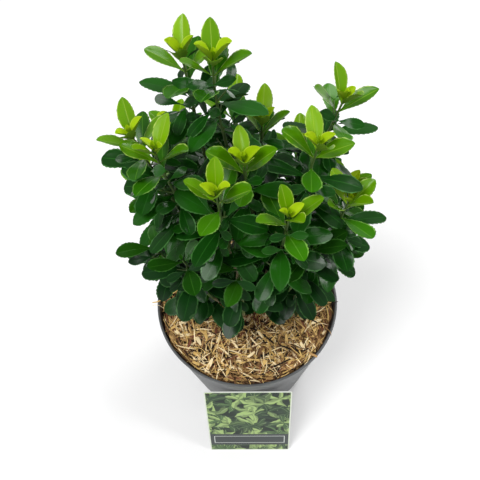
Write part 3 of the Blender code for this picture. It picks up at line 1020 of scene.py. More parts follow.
    def shapes(self, kinds: Sequence[Scrap], chance: random.Random, shares: Sequence[float]) -> list[Mesh]:
        """Make a stock of scraps of some kinds.

        Args:
            kinds: which kinds.
            chance: the source of its chances.
            shares: how often each finish comes.

        Returns:
            The scraps.
        """
        weights = [self.forms[kind].share for kind in kinds]
        made = []
        for i in range(self.templates):
            kind = chance.choices(kinds, weights)[0]
            zone = chance.choices(range(len(self.finishes)), shares)[0]
            made.append(self.scrap_mesh(i, kind, zone, chance))
        return made

    def tree(self) -> GeometryGraph:
        """Build the tree that strews scraps over a surface.

        Returns:
            The tree.
        """
        graph = GeometryGraph("strewn_scraps")
        density, depth, lift, tilt = (graph.ask(name, "Float")
                                      for name in ("Density", "Depth", "Lift", "Tilt"))
        inputs = {"Mesh": graph.start.outputs[0], "Density": density, "Seed": graph.ask("Seed", "Int")}
        strewn = graph.out("GeometryNodeDistributePointsOnFaces", inputs, key="Points")
        rise = graph.math("ADD", graph.random(0.0, depth, 1), lift)
        offset = graph.out("ShaderNodeCombineXYZ", {"Z": rise})
        points = graph.out("GeometryNodeSetPosition", {"Geometry": strewn, "Offset": offset})
        down = graph.math("MULTIPLY", tilt, -1.0)
        least = graph.out("ShaderNodeCombineXYZ", {"X": down, "Y": down, "Z": 0.0})
        most = graph.out("ShaderNodeCombineXYZ", {"X": tilt, "Y": tilt, "Z": math.tau})
        angles = graph.random(least, most, 2, "FLOAT_VECTOR")
        turn = graph.out("FunctionNodeEulerToRotation", {"Euler": angles})
        graph.copies(points, graph.random(0, 9999, 4, "INT"), turn, graph.random(*self.sizes, 3),
                     len(self.finishes))
        return graph

    def strew(self, graph: GeometryGraph, layer: StrewnLayer) -> Mesh:
        """Strew the scraps of a layer over the bed's top.

        Args:
            graph: the tree that strews them.
            layer: the layer.

        Returns:
            The scraps as one mesh.
        """
        radius = self.bed_radius(self.top) - layer.gap
        finishes = [finish.material() for finish in self.finishes]
        shapes = self.shapes(layer.kinds, random.Random(layer.seed), layer.shares)
        top = mesh_from("strewn_patch", self.patch(radius, self.patch_rings, self.patch_spokes),
                        web(self.patch_rings, self.patch_spokes))
        values = {"Density": layer.count / (math.pi * radius ** 2), "Depth": layer.depth,
                  "Lift": layer.lift, "Tilt": self.tilt, "Seed": layer.seed}
        return graph.run(new_object("strewn_patch", top), values, finishes, shapes)

    def near_wall(self, chance: random.Random) -> list[Placement]:
        """Lay straw along the wall, where it only fits across the radius.

        Args:
            chance: the source of its chances.

        Returns:
            Where each scrap goes.
        """
        inner = self.bed_radius(self.top)
        placed = []
        for _ in range(self.wall_scraps):
            bearing = chance.uniform(0, math.tau)
            radius = inner - chance.uniform(*self.wall_band)
            spare = inner - radius
            reach = min(1.0, math.sqrt(2 * inner * spare) / self.wall_reach)
            skew = chance.uniform(-self.wall_skew, self.wall_skew) * min(1.0, spare / self.wall_turn)
            x, y = polar(radius, bearing)
            spot = Vector((x, y, self.surface(x, y) + chance.uniform(0.0, self.wall_depth)))
            turn = (Quaternion(UP, bearing + math.pi / 2 + skew)
                    @ Quaternion(RIGHT, chance.uniform(0, math.tau))
                    @ Quaternion(BACK, chance.uniform(-self.wall_tip, self.wall_tip)))
            size = reach * chance.uniform(*self.wall_sizes)
            placed.append(Placement(spot, turn, size, chance.randrange(self.templates)))
        return placed

    def over_lip(self) -> list[Placement]:
        """Lay the few strands that hang over the lip.

        Returns:
            Where each strand goes.
        """
        placed = []
        for i, (bearing, skew, tip, size) in enumerate(self.strays):
            angle = math.radians(bearing)
            place = polar(self.pot.rim_radius - self.stray_inset, angle)
            spot = Vector((*place, self.pot.height + self.stray_lift))
            turn = Quaternion(UP, angle + math.radians(skew)) @ Quaternion(BACK, math.radians(tip))
            placed.append(Placement(spot, turn, size, i))
        return placed

    def build(self) -> None:
        """Build the soil and the scraps on it."""
        add_piece("soil", self.base(), "mulch_straw", ["mulch_bed"])
        graph = self.tree()
        for layer in self.layers():
            add_piece(layer.name, self.strew(graph, layer), "mulch_straw")
        chance = random.Random(SEED + 2)
        scatter = Scatter("straw_by_wall", [finish.material() for finish in self.finishes])
        mesh = scatter.place(self.near_wall(chance), self.shapes(self.long_kinds, chance, self.shares))
        add_piece("straw_by_wall", mesh, "mulch_straw")
        strands = [self.scrap_mesh(i, kind, zone, chance) for i, (kind, zone) in enumerate(self.stray_forms)]
        add_piece("straw_over_lip", scatter.place(self.over_lip(), strands), "mulch_straw")


@dataclass
class PictureCard:
    """The stiff card that stands on the floor in front and leans on the pot."""

    MAP = "CardMap"

    pot: NurseryPot
    width: float = 0.0915
    length: float = 0.124
    thick: float = 0.0009
    foot: float = 0.123
    turn: float = math.radians(-3.1)
    corner: float = 0.0016
    corner_steps: int = 5
    angles: Pair = (math.radians(45), math.radians(89))
    close: float = 1e-6
    finish: LeafyPrint = LeafyPrint()
    back: PlainFinish = PlainFinish("card_back", (232, 234, 230), 0.42)

    def lean(self) -> float:
        """Find how the card leans, so that its top edge rests on the pot's wall.

        Returns:
            Its angle off the floor.
        """
        low, high = self.angles
        while high - low > self.close:
            angle = (low + high) / 2
            reach = self.foot - self.length * math.cos(angle)
            if reach > self.pot.wall_radius(self.length * math.sin(angle)) + CLEAR:
                high = angle
            else:
                low = angle
        return high

    def outline(self) -> list[Pair]:
        """Give the card's outline with its rounded corners.

        Returns:
            Its points, anticlockwise as seen from the front.
        """
        side, foot, top = self.width / 2 - self.corner, self.corner, self.length - self.corner
        middles = ((side, foot, -90), (side, top, 0), (-side, top, 90), (-side, foot, 180))
        return [point for x, z, start in middles
                for point in arc(x, z, self.corner, start, start + 90, self.corner_steps)]

    def build(self) -> None:
        """Build the card and dress it."""
        outline = self.outline()
        count = len(outline)
        corners = [Vector((x, y, z)) for y in (-self.thick, 0.0) for x, z in outline]
        faces = [tuple(range(count)), tuple(reversed(range(count, 2 * count)))]
        faces += [(i, count + i, count + (i + 1) % count, (i + 1) % count) for i in range(count)]
        mesh = mesh_from("picture_card", corners, faces)
        mesh.shade_flat()
        layer = mesh.uv_layers.new(name=self.MAP)
        for loop in mesh.loops:
            place = mesh.vertices[loop.vertex_index].co
            layer.data[loop.index].uv = (place.x / self.width + 0.5, place.z / self.width)
        mesh.materials.append(self.finish.material(self.length / self.width))
        mesh.materials.append(self.back.material())
        for face in mesh.polygons:
            face.material_index = 0 if face.index == 0 else 1
        lean = Matrix.Rotation(self.lean() - math.pi / 2, 4, "X")
        stand = Matrix.Translation((0.0, -self.foot, 0.0))
        mesh.transform(Matrix.Rotation(self.turn, 4, "Z") @ stand @ lean)
        add_piece("leaning_card", mesh, "card_print", ["picture_card"])


# Growth: where every limb and leaf goes

@dataclass(frozen=True)
class Shoot:
    """One shoot of the shrub.

    root is the foot in the bed as (x, y), or the parent's name and the height where it leaves.
    lean is the slope of the apex off the upright, and turn the bearing of the youngest pair.
    seed draws how its leaves stray, and shade counts the youngest pairs that it lacks in the shade.
    """

    name: str
    root: tuple
    apex: Triple
    lean: Pair
    turn: float
    pairs: int
    seed: int
    shade: int = 0

    @property
    def is_stem(self) -> bool:
        """Whether the shoot stands in the bed."""
        return not isinstance(self.root[0], str)


SHOOTS = (
    # The leading shoots, each on a stem out of the bed
    Shoot("back_left", (-0.012, 0.012), (-0.035, 0.045, 0.440), (-0.05, 0.05), 0, 13, 32),
    Shoot("left", (-0.018, -0.002), (-0.075, 0.012, 0.402), (-0.20, 0.02), 17, 12, 31),
    Shoot("front", (-0.004, -0.014), (-0.018, -0.035, 0.391), (-0.04, -0.10), 0, 13, 2),
    Shoot("right", (0.016, -0.003), (0.055, 0.000, 0.393), (0.10, 0.00), 11, 13, 20),
    Shoot("back_right", (0.010, 0.013), (0.079, 0.040, 0.397), (0.25, 0.08), 25, 12, 5),
    # The tall shoots that branch from them
    Shoot("back", ("back_left", 0.262), (-0.014, 0.030, 0.448), (0.08, 0.00), 0, 11, 8),
    Shoot("inner_left", ("left", 0.238), (-0.058, -0.005, 0.404), (-0.05, -0.05), -17, 10, 14),
    Shoot("inner_back", ("back_right", 0.230), (0.018, 0.038, 0.381), (-0.05, 0.05), 0, 10, 27),
    Shoot("centre", ("front", 0.212), (0.002, -0.010, 0.393), (0.00, 0.02), 11, 11, 36),
    Shoot("front_right", ("right", 0.208), (0.032, -0.040, 0.367), (0.02, -0.12), 22, 10, 31),
    Shoot("outer_right", ("right", 0.196), (0.081, -0.015, 0.345), (0.12, -0.06), 38, 10, 13),
    # The shoots behind them
    Shoot("outer_left", ("left", 0.205), (-0.082, 0.045, 0.313), (-0.25, 0.15), -3, 9, 13),
    Shoot("rear_left", ("back_left", 0.205), (-0.054, 0.085, 0.331), (-0.10, 0.25), -13, 9, 12),
    Shoot("rear", ("back_left", 0.234), (-0.002, 0.082, 0.354), (0.02, 0.20), 0, 10, 2),
    Shoot("rear_right", ("back_right", 0.190), (0.056, 0.082, 0.305), (0.10, 0.25), 10, 9, 10),
    Shoot("outer_back", ("back_right", 0.212), (0.091, 0.028, 0.304), (0.20, 0.10), 48, 9, 10),
    # The low shoots in their shade, all round the foot
    Shoot("low_left", ("left", 0.168), (-0.080, -0.002, 0.273), (-0.35, 0.00), 10, 7, 11, 2),
    Shoot("low_front_left", ("front", 0.176), (-0.050, -0.037, 0.306), (-0.20, -0.18), 18, 6, 54, 2),
    Shoot("low_front", ("front", 0.166), (-0.006, -0.043, 0.297), (-0.05, -0.18), 0, 6, 41, 2),
    Shoot("low_front_right", ("right", 0.172), (0.054, -0.033, 0.305), (0.20, -0.18), -32, 7, 79, 2),
    Shoot("low_right", ("right", 0.166), (0.084, 0.010, 0.269), (0.35, 0.00), 33, 7, 15, 2),
    Shoot("low_rear_right", ("back_right", 0.168), (0.066, 0.058, 0.274), (0.25, 0.25), 22, 8, 1, 2),
    Shoot("low_rear", ("back_left", 0.170), (0.004, 0.080, 0.268), (0.05, 0.35), -22, 8, 12, 2),
    Shoot("low_rear_left", ("back_left", 0.166), (-0.058, 0.058, 0.274), (-0.25, 0.25), -40, 8, 0, 2),
    # The short shoots under those, close over the bed
    Shoot("foot_left", ("left", 0.157), (-0.054, -0.012, 0.215), (-0.36, -0.08), 38, 4, 11, 3),
    Shoot("foot_front_left", ("front", 0.157), (-0.030, -0.010, 0.209), (-0.32, -0.02), 60, 4, 41, 3),
    Shoot("foot_front_right", ("front", 0.160), (0.024, -0.008, 0.211), (0.32, -0.02), 60, 4, 41, 3),
    Shoot("foot_right", ("right", 0.158), (0.059, -0.002, 0.208), (0.40, -0.03), 65, 4, 12, 3),
    Shoot("foot_rear_right", ("right", 0.162), (0.048, 0.024, 0.212), (0.35, 0.20), 20, 5, 41, 3),
    Shoot("foot_rear", ("back_right", 0.158), (0.020, 0.050, 0.214), (0.15, 0.40), 60, 5, 41, 3),
    Shoot("foot_rear_left", ("back_left", 0.158), (-0.022, 0.050, 0.212), (-0.15, 0.40), 20, 5, 41, 3),
    Shoot("foot_outer_left", ("left", 0.163), (-0.050, 0.018, 0.214), (-0.40, 0.15), 60, 5, 41, 3),
)


class Route:
    """A smooth curve from a shoot's root to its apex, read by the way along it."""

    def __init__(self, shoot: Shoot, points: Sequence[Vector]) -> None:
        """Measure the curve.

        Args:
            shoot: the shoot that follows it.
            points: the curve's points.
        """
        self.shoot = shoot
        self.points = list(points)
        self.ways = [0.0]
        for start, end in zip(self.points, self.points[1:]):
            self.ways.append(self.ways[-1] + (end - start).length)
        self.length = self.ways[-1]

    def at(self, way: float) -> tuple[Vector, Vector]:
        """Give the point and the direction at a way along the curve.

        Args:
            way: the way from the root.

        Returns:
            The point and the direction.
        """
        way = min(max(way, 0.0), self.length)
        index = 0
        while index < len(self.ways) - 2 and self.ways[index + 1] < way:
            index += 1
        start = self.points[index]
        step = self.points[index + 1] - start
        share = (way - self.ways[index]) / step.length
        return start + step * share, step.normalized()

    def way_at_height(self, height: float) -> float:
        """Give the way along the curve to a height.

        Args:
            height: the height above the floor.

        Returns:
            The way from the root, or the whole length where the curve stays lower.
        """
        for way, point in zip(self.ways, self.points):
            if point.z >= height:
                return way
        return self.length


@dataclass(frozen=True)
class Leaf:
    """One leaf: its root, its way out, the way its upper face looks, its length, its curl and its age."""

    root: Vector
    axis: Vector
    face: Vector
    length: float
    curl: float
    age: int
    shoot: str


@dataclass(frozen=True)
class Obstacle:
    """A body that leaves keep clear of: whose it is, where it is, and its faces."""

    owner: str
    centre: Vector
    radius: float
    tree: BVHTree

    @classmethod
    def of(cls, owner: str, corners: Sequence[Vector], faces: Sequence[Sequence[int]]) -> "Obstacle":
        """Note a body as an obstacle.

        Args:
            owner: whose it is.
            corners: its vertices.
            faces: its faces.

        Returns:
            The obstacle.
        """
        centre = sum(corners, Vector()) / len(corners)
        radius = max((corner - centre).length for corner in corners)
        return cls(owner, centre, radius, BVHTree.FromPolygons(corners, faces))


def square_to(along: Vector, bearing: float) -> Vector:
    """Give the way out from a twig, square to it, at a bearing round it in degrees."""
    level = (RIGHT - along * RIGHT.dot(along)).normalized()
    return Quaternion(along, math.radians(bearing)) @ level


def opened(along: Vector, out: Vector, degrees: float) -> tuple[Vector, Vector]:
    """Open a leaf from a twig, and give its way out and the way that its upper face looks."""
    angle = math.radians(degrees)
    return along * math.cos(angle) + out * math.sin(angle), along * math.sin(angle) - out * math.cos(angle)


@dataclass
class Growth:
    """The rule that lays every limb and leaf of the shrub."""

    bed_top: float
    leaf_floor: float
    apex_radius: float = 0.0007
    stem_taper: float = 0.0095
    bough_taper: float = 0.0062
    flare: float = 0.0022
    flare_length: float = 0.009
    stem_foot: float = 0.004
    branch_angle: float = math.radians(48)
    root_pull: float = 0.35
    apex_pull: float = 0.40
    curve_samples: int = 120
    curve_slack: float = 1.15
    shortest_bough: float = 0.022
    bare_mesh: tuple[float, int] = (0.014, 8)
    leafy_mesh: tuple[float, int] = (0.018, 4)
    first_node: float = 0.0035
    node_steps: tuple[float, ...] = (0.0042, 0.0078, 0.0105, 0.0115, 0.0120, 0.0125, 0.0125, 0.0125)
    leaf_lengths: tuple[float, ...] = (0.0170, 0.0310, 0.0340, 0.0365, 0.0380, 0.0385, 0.0385, 0.0375)
    leaf_spreads: tuple[float, ...] = (35, 37, 43, 54, 64, 74, 84, 92)
    leaf_curls: tuple[float, ...] = (0.02, 0.05, 0.09, 0.13, 0.17, 0.20, 0.23, 0.26)
    twig_foot: float = 0.006
    pair_turn: float = 84
    pair_jitter: float = 11
    length_jitter: float = 0.08
    tip_jitter: float = 0.22
    spread_jitter: float = 8
    roll_jitter: float = 16
    light_pull: float = 0.35
    sections: tuple[Triple, ...] = ((0.41, 0.155, 0.044), (0.75, 0.200, 0.032))
    root_sink: float = 0.55
    leaf_clear: float = 0.00035
    trials: tuple[Triple, ...] = (
        (0, 0, 1.0), (12, 0, 1.0), (-12, 0, 1.0), (0, -12, 1.0), (0, 10, 1.0), (24, -6, 0.95),
        (-24, -6, 0.95), (14, -18, 0.88), (-14, -18, 0.88), (34, 0, 0.82), (-34, 0, 0.82), (0, -24, 0.75),
        (20, 16, 0.90), (-20, 16, 0.90), (44, -12, 0.80), (-44, -12, 0.80), (8, -30, 0.66), (-8, 24, 0.66),
    )
    sprout_age: int = 3
    sprout_share: float = 0.85
    sprout_lengths: Pair = (0.008, 0.017)
    sprout_spread: float = 40
    sprout_leaves: Pair = (0.018, 0.027)
    sprout_pairs: tuple[Triple, ...] = ((0.35, 55, 1.0), (0.0, 48, 0.78))
    sprout_jitter: float = 18
    sprout_fan: float = 20
    sprout_drop: float = 0.0012
    sprout_curl: float = 0.12
    sprout_youngest: int = 4
    bud_length: float = 0.0075
    bud_spread: float = 17
    bud_sink: float = 0.0006
    bud_curl: float = -0.1
    routes: dict[str, Route] = field(default_factory=dict)
    obstacles: list[Obstacle] = field(default_factory=list)
    leaves: list[Leaf] = field(default_factory=list)
    sprouts: list[tuple[Vector, Vector]] = field(default_factory=list)

    def limb_radius(self, route: Route, way: float) -> float:
        """Give a shoot's radius at a way along it.

        Args:
            route: the shoot's route.
            way: the way from its root.

        Returns:
            The radius.
        """
        taper = self.stem_taper if route.shoot.is_stem else self.bough_taper
        radius = self.apex_radius + taper * (route.length - way)
        if route.shoot.is_stem:
            radius += self.flare * math.exp(-way / self.flare_length)
        return radius

    def leaf_nodes(self, shoot: Shoot) -> Iterator[tuple[float, int]]:
        """Go through a shoot's pairs of leaves, from its apex down.

        Args:
            shoot: the shoot.

        Returns:
            Each pair's way from the apex, and its age as a place in the tables of leaf sizes.
        """
        way = self.first_node
        for i in range(shoot.pairs):
            age = min(i + shoot.shade, len(self.node_steps) - 1)
            yield way, age
            way += self.node_steps[age]

    def foliage_foot(self, route: Route) -> float:
        """Give the way along a shoot to the foot of its leafy part, or 0 where it has no bare one."""
        foot = route.length - list(self.leaf_nodes(route.shoot))[-1][0] - self.twig_foot
        return foot if foot > self.shortest_bough else 0.0

    def shoot_route(self, shoot: Shoot) -> Route:
        """Lay a shoot's curve from the bed, or from its parent's side, up to its apex.

        Args:
            shoot: the shoot.

        Returns:
            Its route.
        """
        apex = Vector(shoot.apex)
        tip_way = Vector((*shoot.lean, 1.0)).normalized()
        lead_in = []
        if shoot.is_stem:
            foot = Vector((*shoot.root, self.bed_top + CLEAR))
            lead_in = [foot]
            root = foot + UP * self.stem_foot
            leave = UP
        else:
            parent_name, height = shoot.root
            parent = self.routes[parent_name]
            way = parent.way_at_height(height)
            point, tangent = parent.at(way)
            outward = apex - point
            outward = (outward - tangent * outward.dot(tangent)).normalized()
            own_radius = self.apex_radius + self.bough_taper * (apex - point).length * self.curve_slack
            gap = self.limb_radius(parent, way) + CLEAR
            root = point + outward * (gap + own_radius * math.cos(self.branch_angle))
            leave = tangent * math.cos(self.branch_angle) + outward * math.sin(self.branch_angle)
        span = (apex - root).length
        curve = interpolate_bezier(root, root + leave * span * self.root_pull,
                                   apex - tip_way * span * self.apex_pull, apex, self.curve_samples)
        return Route(shoot, lead_in + curve)

    def limb_body(self, route: Route, start: float, end: float, step: float,
                  sides: int) -> tuple[list[Vector], list[tuple[int, ...]]]:
        """Make a plain tube along part of a shoot, to test leaves against.

        Args:
            route: the shoot's route.
            start: the way where the tube starts.
            end: the way where it ends.
            step: about how long its stretches are.
            sides: how many sides it has.

        Returns:
            Its vertices and faces.
        """
        count = max(2, round((end - start) / step) + 1)
        corners = []
        for i in range(count):
            way = start + (end - start) * i / (count - 1)
            point, along = route.at(way)
            across = along.orthogonal().normalized()
            radius = self.limb_radius(route, way)
            for side in range(sides):
                corners.append(point + Quaternion(along, math.tau * side / sides) @ across * radius)
        return corners, tube(count, sides)

    def leaf_body(self, leaf: Leaf) -> tuple[list[Vector], list[tuple[int, int, int]]]:
        """Make the plain body of a leaf, a little swollen, to test it against its neighbours.

        Args:
            leaf: the leaf.

        Returns:
            Its vertices and faces.
        """
        side, margin = leaf.axis.cross(leaf.face), self.leaf_clear
        corners = [leaf.root]
        for along, half_width, depth in self.sections:
            middle = leaf.root + leaf.axis * leaf.length * along
            middle -= leaf.face * leaf.length * leaf.curl * along ** 2
            half = side * (half_width * leaf.length + margin)
            top = leaf.face * margin
            keel = leaf.face * (depth * leaf.length + margin)
            corners += [middle + half + top, middle - half + top, middle - keel]
        corners.append(leaf.root + leaf.axis * (leaf.length + margin) - leaf.face * leaf.length * leaf.curl)
        faces = []
        for i in range(3):
            j = (i + 1) % 3
            faces += [(0, 1 + i, 1 + j), (1 + i, 1 + j, 4 + j), (1 + i, 4 + j, 4 + i), (4 + i, 4 + j, 7)]
        return corners, faces

    def fits(self, leaf: Leaf, owner: str) -> bool:
        """Keep a leaf if it stays above the pot's rim and touches nothing of another owner's.

        Args:
            leaf: the leaf.
            owner: whose it is.

        Returns:
            Whether it was kept.
        """
        corners, faces = self.leaf_body(leaf)
        body = Obstacle.of(owner, corners, faces)
        near = (other for other in self.obstacles if other.owner != owner
                and (other.centre - body.centre).length < other.radius + body.radius)
        low = min(corner.z for corner in corners) < self.leaf_floor
        if low or any(body.tree.overlap(other.tree) for other in near):
            return False
        self.obstacles.append(body)
        self.leaves.append(leaf)
        return True

    def leaf_at(self, route: Route, way: float, age: int, bearing: float, lift: float, roll: float,
                size: float) -> Leaf:
        """Give the leaf that a twig carries at a way from its apex, facing the light but for its roll.

        Args:
            route: the shoot's route.
            way: the way from its apex.
            age: the leaf's place in the tables.
            bearing: its bearing round the twig, in degrees.
            lift: what its angle off the twig gains, in degrees.
            roll: how far it is rolled about its own axis, in degrees.
            size: its size beside the table's.

        Returns:
            The leaf.
        """
        point, along = route.at(route.length - way)
        along = along.lerp(UP, self.light_pull).normalized()
        axis, face = opened(along, square_to(along, bearing), self.leaf_spreads[age] + lift)
        face = Quaternion(axis, math.radians(roll)) @ face
        sink = self.root_sink * self.limb_radius(route, route.length - way)
        return Leaf(point - axis * sink, axis, face, self.leaf_lengths[age] * size, self.leaf_curls[age],
                    age, route.shoot.name)

    def grow_leaves(self, route: Route) -> None:
        """Grow a shoot's leaves in pairs, each leaf turned, lifted or shortened where it would touch.

        Args:
            route: the shoot's route.
        """
        shoot = route.shoot
        chance = random.Random(f"{shoot.seed} {shoot.name}")
        for i, (way, age) in enumerate(self.leaf_nodes(shoot)):
            stray = chance.uniform(-self.pair_jitter, self.pair_jitter)
            for side in (0, 180):
                bearing = shoot.turn + self.pair_turn * i + stray + side
                jitter = self.length_jitter if age else self.tip_jitter
                size = 1 + chance.uniform(-jitter, jitter)
                roll = chance.uniform(-self.roll_jitter, self.roll_jitter)
                tilt = chance.uniform(-self.spread_jitter, self.spread_jitter)
                for turn, lift, share in self.trials:
                    leaf = self.leaf_at(route, way, age, bearing + turn, tilt + lift, roll, size * share)
                    if self.fits(leaf, shoot.name):
                        break

    def grow_bud(self, route: Route) -> None:
        """Close a shoot's tip with a bud of two tiny leaves.

        Args:
            route: the shoot's route.
        """
        shoot = route.shoot
        point, along = route.at(route.length)
        age = min(shoot.shade, len(self.node_steps) - 1)
        for side in (0, 180):
            out = square_to(along, shoot.turn + self.pair_turn + side)
            axis, face = opened(along, out, self.bud_spread)
            self.leaves.append(Leaf(point - along * self.bud_sink, axis, face, self.bud_length,
                                    self.bud_curl, age, shoot.name))

    def grow_sprouts(self, route: Route) -> None:
        """Grow the small twigs in the axils of a shoot's older leaves, with a few small leaves each.

        Args:
            route: the shoot's route.
        """
        shoot = route.shoot
        chance = random.Random(f"{SEED} sprouts {shoot.name}")
        for i, (way, age) in enumerate(self.leaf_nodes(shoot)):
            for side in (0, 180):
                wanted = age >= self.sprout_age and chance.random() < self.sprout_share
                stray = chance.uniform(-self.sprout_jitter, self.sprout_jitter)
                length = chance.uniform(*self.sprout_lengths)
                size = chance.uniform(*self.sprout_leaves)
                if not wanted:
                    continue
                point, along = route.at(route.length - way + self.sprout_drop)
                out = square_to(along, shoot.turn + self.pair_turn * i + side + stray)
                axis, _ = opened(along, out, self.sprout_spread)
                tip = point + axis * length
                kept = False
                for quarter in range(4):
                    back, angle, share = self.sprout_pairs[quarter % 2]
                    turn = 90 * quarter + chance.uniform(-self.sprout_fan, self.sprout_fan)
                    fan = Quaternion(axis, math.radians(turn)) @ out
                    fan = (fan - axis * fan.dot(axis)).normalized()
                    leaf = Leaf(point.lerp(tip, 1 - back), *opened(axis, fan, angle), size * share,
                                self.sprout_curl, max(age - 1, self.sprout_youngest), shoot.name)
                    kept = self.fits(leaf, shoot.name + " sprout") or kept
                if kept:
                    self.sprouts.append((point, tip))

    def grow(self) -> None:
        """Lay every limb, then grow the leaves and the sprouts shoot by shoot."""
        for shoot in SHOOTS:
            route = self.shoot_route(shoot)
            self.routes[shoot.name] = route
            foot = self.foliage_foot(route)
            if foot:
                corners, faces = self.limb_body(route, 0.0, foot - CLEAR, *self.bare_mesh)
                self.obstacles.append(Obstacle.of("limb " + shoot.name, corners, faces))
            corners, faces = self.limb_body(route, foot, route.length, *self.leafy_mesh)
            self.obstacles.append(Obstacle.of(shoot.name, corners, faces))
        for route in self.routes.values():
            self.grow_leaves(route)
        main = len(self.leaves)
        for rule in (self.grow_bud, self.grow_sprouts):
            for route in self.routes.values():
                rule(route)
        LOG.info("growth: %d leaves on the shoots, %d with the buds and sprouts", main, len(self.leaves))


# Limbs and leaves as meshes

@dataclass
class Limbs:
    """The stems, boughs and green twigs, with the bark's relief and the joints where leaves stand."""

    growth: Growth
    ring_step: float = 0.0016
    joint_swell: float = 0.22
    joint_length: float = 0.0010
    joint_reach: int = 4
    sides: int = 12
    relief: float = 0.0006
    furrow_scale: float = 420.0
    furrow_stretch: float = 0.2
    rough_radius: float = 0.0030
    collar: float = 1.35
    collar_drop: float = 0.6
    collar_end: float = 0.55
    sprout_radii: Pair = (0.0008, 0.0005)
    sprout_steps: int = 5
    shortest_bark: float = 0.010
    green_length: float = 0.095
    overlap: float = 0.0006
    green: PlainFinish = PlainFinish("green_twig", (66, 92, 32), 0.48)
    bark: PatternedFinish = BARK

    def tree(self) -> GeometryGraph:
        """Build the tree that gives lines a round body with a furrowed surface.

        Returns:
            The tree.
        """
        graph = GeometryGraph("furrowed_limbs")
        sides, relief = graph.ask("Sides", "Int"), graph.ask("Relief", "Float")
        scale = graph.ask("Furrow Scale", "Float")
        lines = graph.out("GeometryNodeMeshToCurve", {"Mesh": graph.start.outputs[0]})
        ring = graph.out("GeometryNodeCurvePrimitiveCircle", {"Resolution": sides, "Radius": 1.0})
        body = graph.out("GeometryNodeCurveToMesh", {"Curve": lines, "Profile Curve": ring,
                                                     "Scale": graph.attribute("thick", "FLOAT"),
                                                     "Fill Caps": True})
        place = graph.out("GeometryNodeInputPosition")
        tall = graph.vector("MULTIPLY", place, (1.0, 1.0, self.furrow_stretch))
        furrow = graph.noise(tall, scale, 2.0)
        depth = graph.math("MULTIPLY", graph.math("SUBTRACT", furrow, 0.5), relief)
        depth = graph.math("MULTIPLY", depth, graph.attribute("rough", "FLOAT"))
        normal = graph.out("GeometryNodeInputNormal", key="Normal")
        offset = graph.out("ShaderNodeVectorMath", {0: normal, "Scale": depth}, operation="SCALE")
        graph.realize(graph.out("GeometryNodeSetPosition", {"Geometry": body, "Offset": offset}), 1)
        return graph

    def strand(self, route: Route, start: float, end: float) -> list[tuple[Vector, float]]:
        """Read part of a shoot as points with radii, swollen at each pair of leaves.

        Args:
            route: the shoot's route.
            start: the way where it starts.
            end: the way where it ends.

        Returns:
            The points with their radii.
        """
        count = max(3, round((end - start) / self.ring_step))
        joints = [route.length - way for way, _ in self.growth.leaf_nodes(route.shoot)]
        spacing = self.growth.node_steps[-1]
        lowest = min(joints)
        joints += [lowest - spacing * i for i in range(1, int(lowest / spacing) + 1)]
        points = []
        for i in range(count + 1):
            way = start + (end - start) * i / count
            swell = sum(math.exp(-((way - joint) / self.joint_length) ** 2) for joint in joints
                        if abs(way - joint) < self.joint_reach * self.joint_length)
            radius = self.growth.limb_radius(route, way) * (1 + self.joint_swell * swell)
            points.append((route.at(way)[0], radius))
        return points

    def from_parent(self, route: Route) -> list[tuple[Vector, float]]:
        """Lead a side limb out of its parent, with a collar where it leaves.

        Args:
            route: the shoot's route.

        Returns:
            The points with their radii, up to the limb's root.
        """
        if route.shoot.is_stem:
            return []
        parent_name, height = route.shoot.root
        parent = self.growth.routes[parent_name]
        middle = parent.at(parent.way_at_height(height))[0]
        root = route.points[0]
        radius = self.growth.limb_radius(route, 0.0)
        low = middle - UP * radius * self.collar_drop
        return [(low, radius * self.collar), (low.lerp(root, self.collar_end), radius * self.collar)]

    def sprout_strands(self) -> list[list[tuple[Vector, float]]]:
        """Read the small twigs as points with radii.

        Returns:
            The points of each with their radii.
        """
        thick, thin = self.sprout_radii
        steps = [i / self.sprout_steps for i in range(self.sprout_steps + 1)]
        return [[(foot.lerp(tip, t), thick + (thin - thick) * t) for t in steps]
                for foot, tip in self.growth.sprouts]

    def body(self, name: str, strands: Sequence[list[tuple[Vector, float]]], graph: GeometryGraph,
             material: Material) -> Mesh:
        """Give strands their bodies.

        Args:
            name: the mesh's name.
            strands: the points of each with their radii.
            graph: the tree that makes the bodies.
            material: their finish.

        Returns:
            The mesh.
        """
        corners, edges, radii = [], [], []
        for strand in strands:
            first = len(corners)
            corners += [tuple(point) for point, _ in strand]
            radii += [radius for _, radius in strand]
            edges += [(first + i, first + i + 1) for i in range(len(strand) - 1)]
        lines = bpy.data.meshes.new(name)
        lines.from_pydata(corners, edges, [])
        note(lines, "thick", "FLOAT", "POINT", radii)
        note(lines, "rough", "FLOAT", "POINT", [min(1.0, radius / self.rough_radius) for radius in radii])
        values = {"Sides": self.sides, "Relief": self.relief, "Furrow Scale": self.furrow_scale}
        mesh = graph.run(new_object(name, lines), values, [material])
        mesh.shade_smooth()
        return mesh

    def build(self) -> None:
        """Build the limbs and dress them."""
        graph = self.tree()
        bark, green, limbs, masses = [], [], [], []
        for name, route in self.growth.routes.items():
            turn_green = max(0.0, route.length - self.green_length)
            lead = self.from_parent(route)
            if turn_green > self.shortest_bark:
                bark.append(lead + self.strand(route, 0.0, turn_green))
                green.append(self.strand(route, turn_green - self.overlap, route.length))
            else:
                green.append(lead + self.strand(route, 0.0, route.length))
            if self.growth.foliage_foot(route):
                limbs.append(("stem_" if route.shoot.is_stem else "bough_") + name)
            masses.append("foliage_" + name)
        green += self.sprout_strands()
        add_piece("woody_limbs", self.body("woody_limbs", bark, graph, self.bark.material()), "bark", limbs)
        add_piece("green_twigs", self.body("green_twigs", green, graph, self.green.material()), "leaf_green",
                  masses)


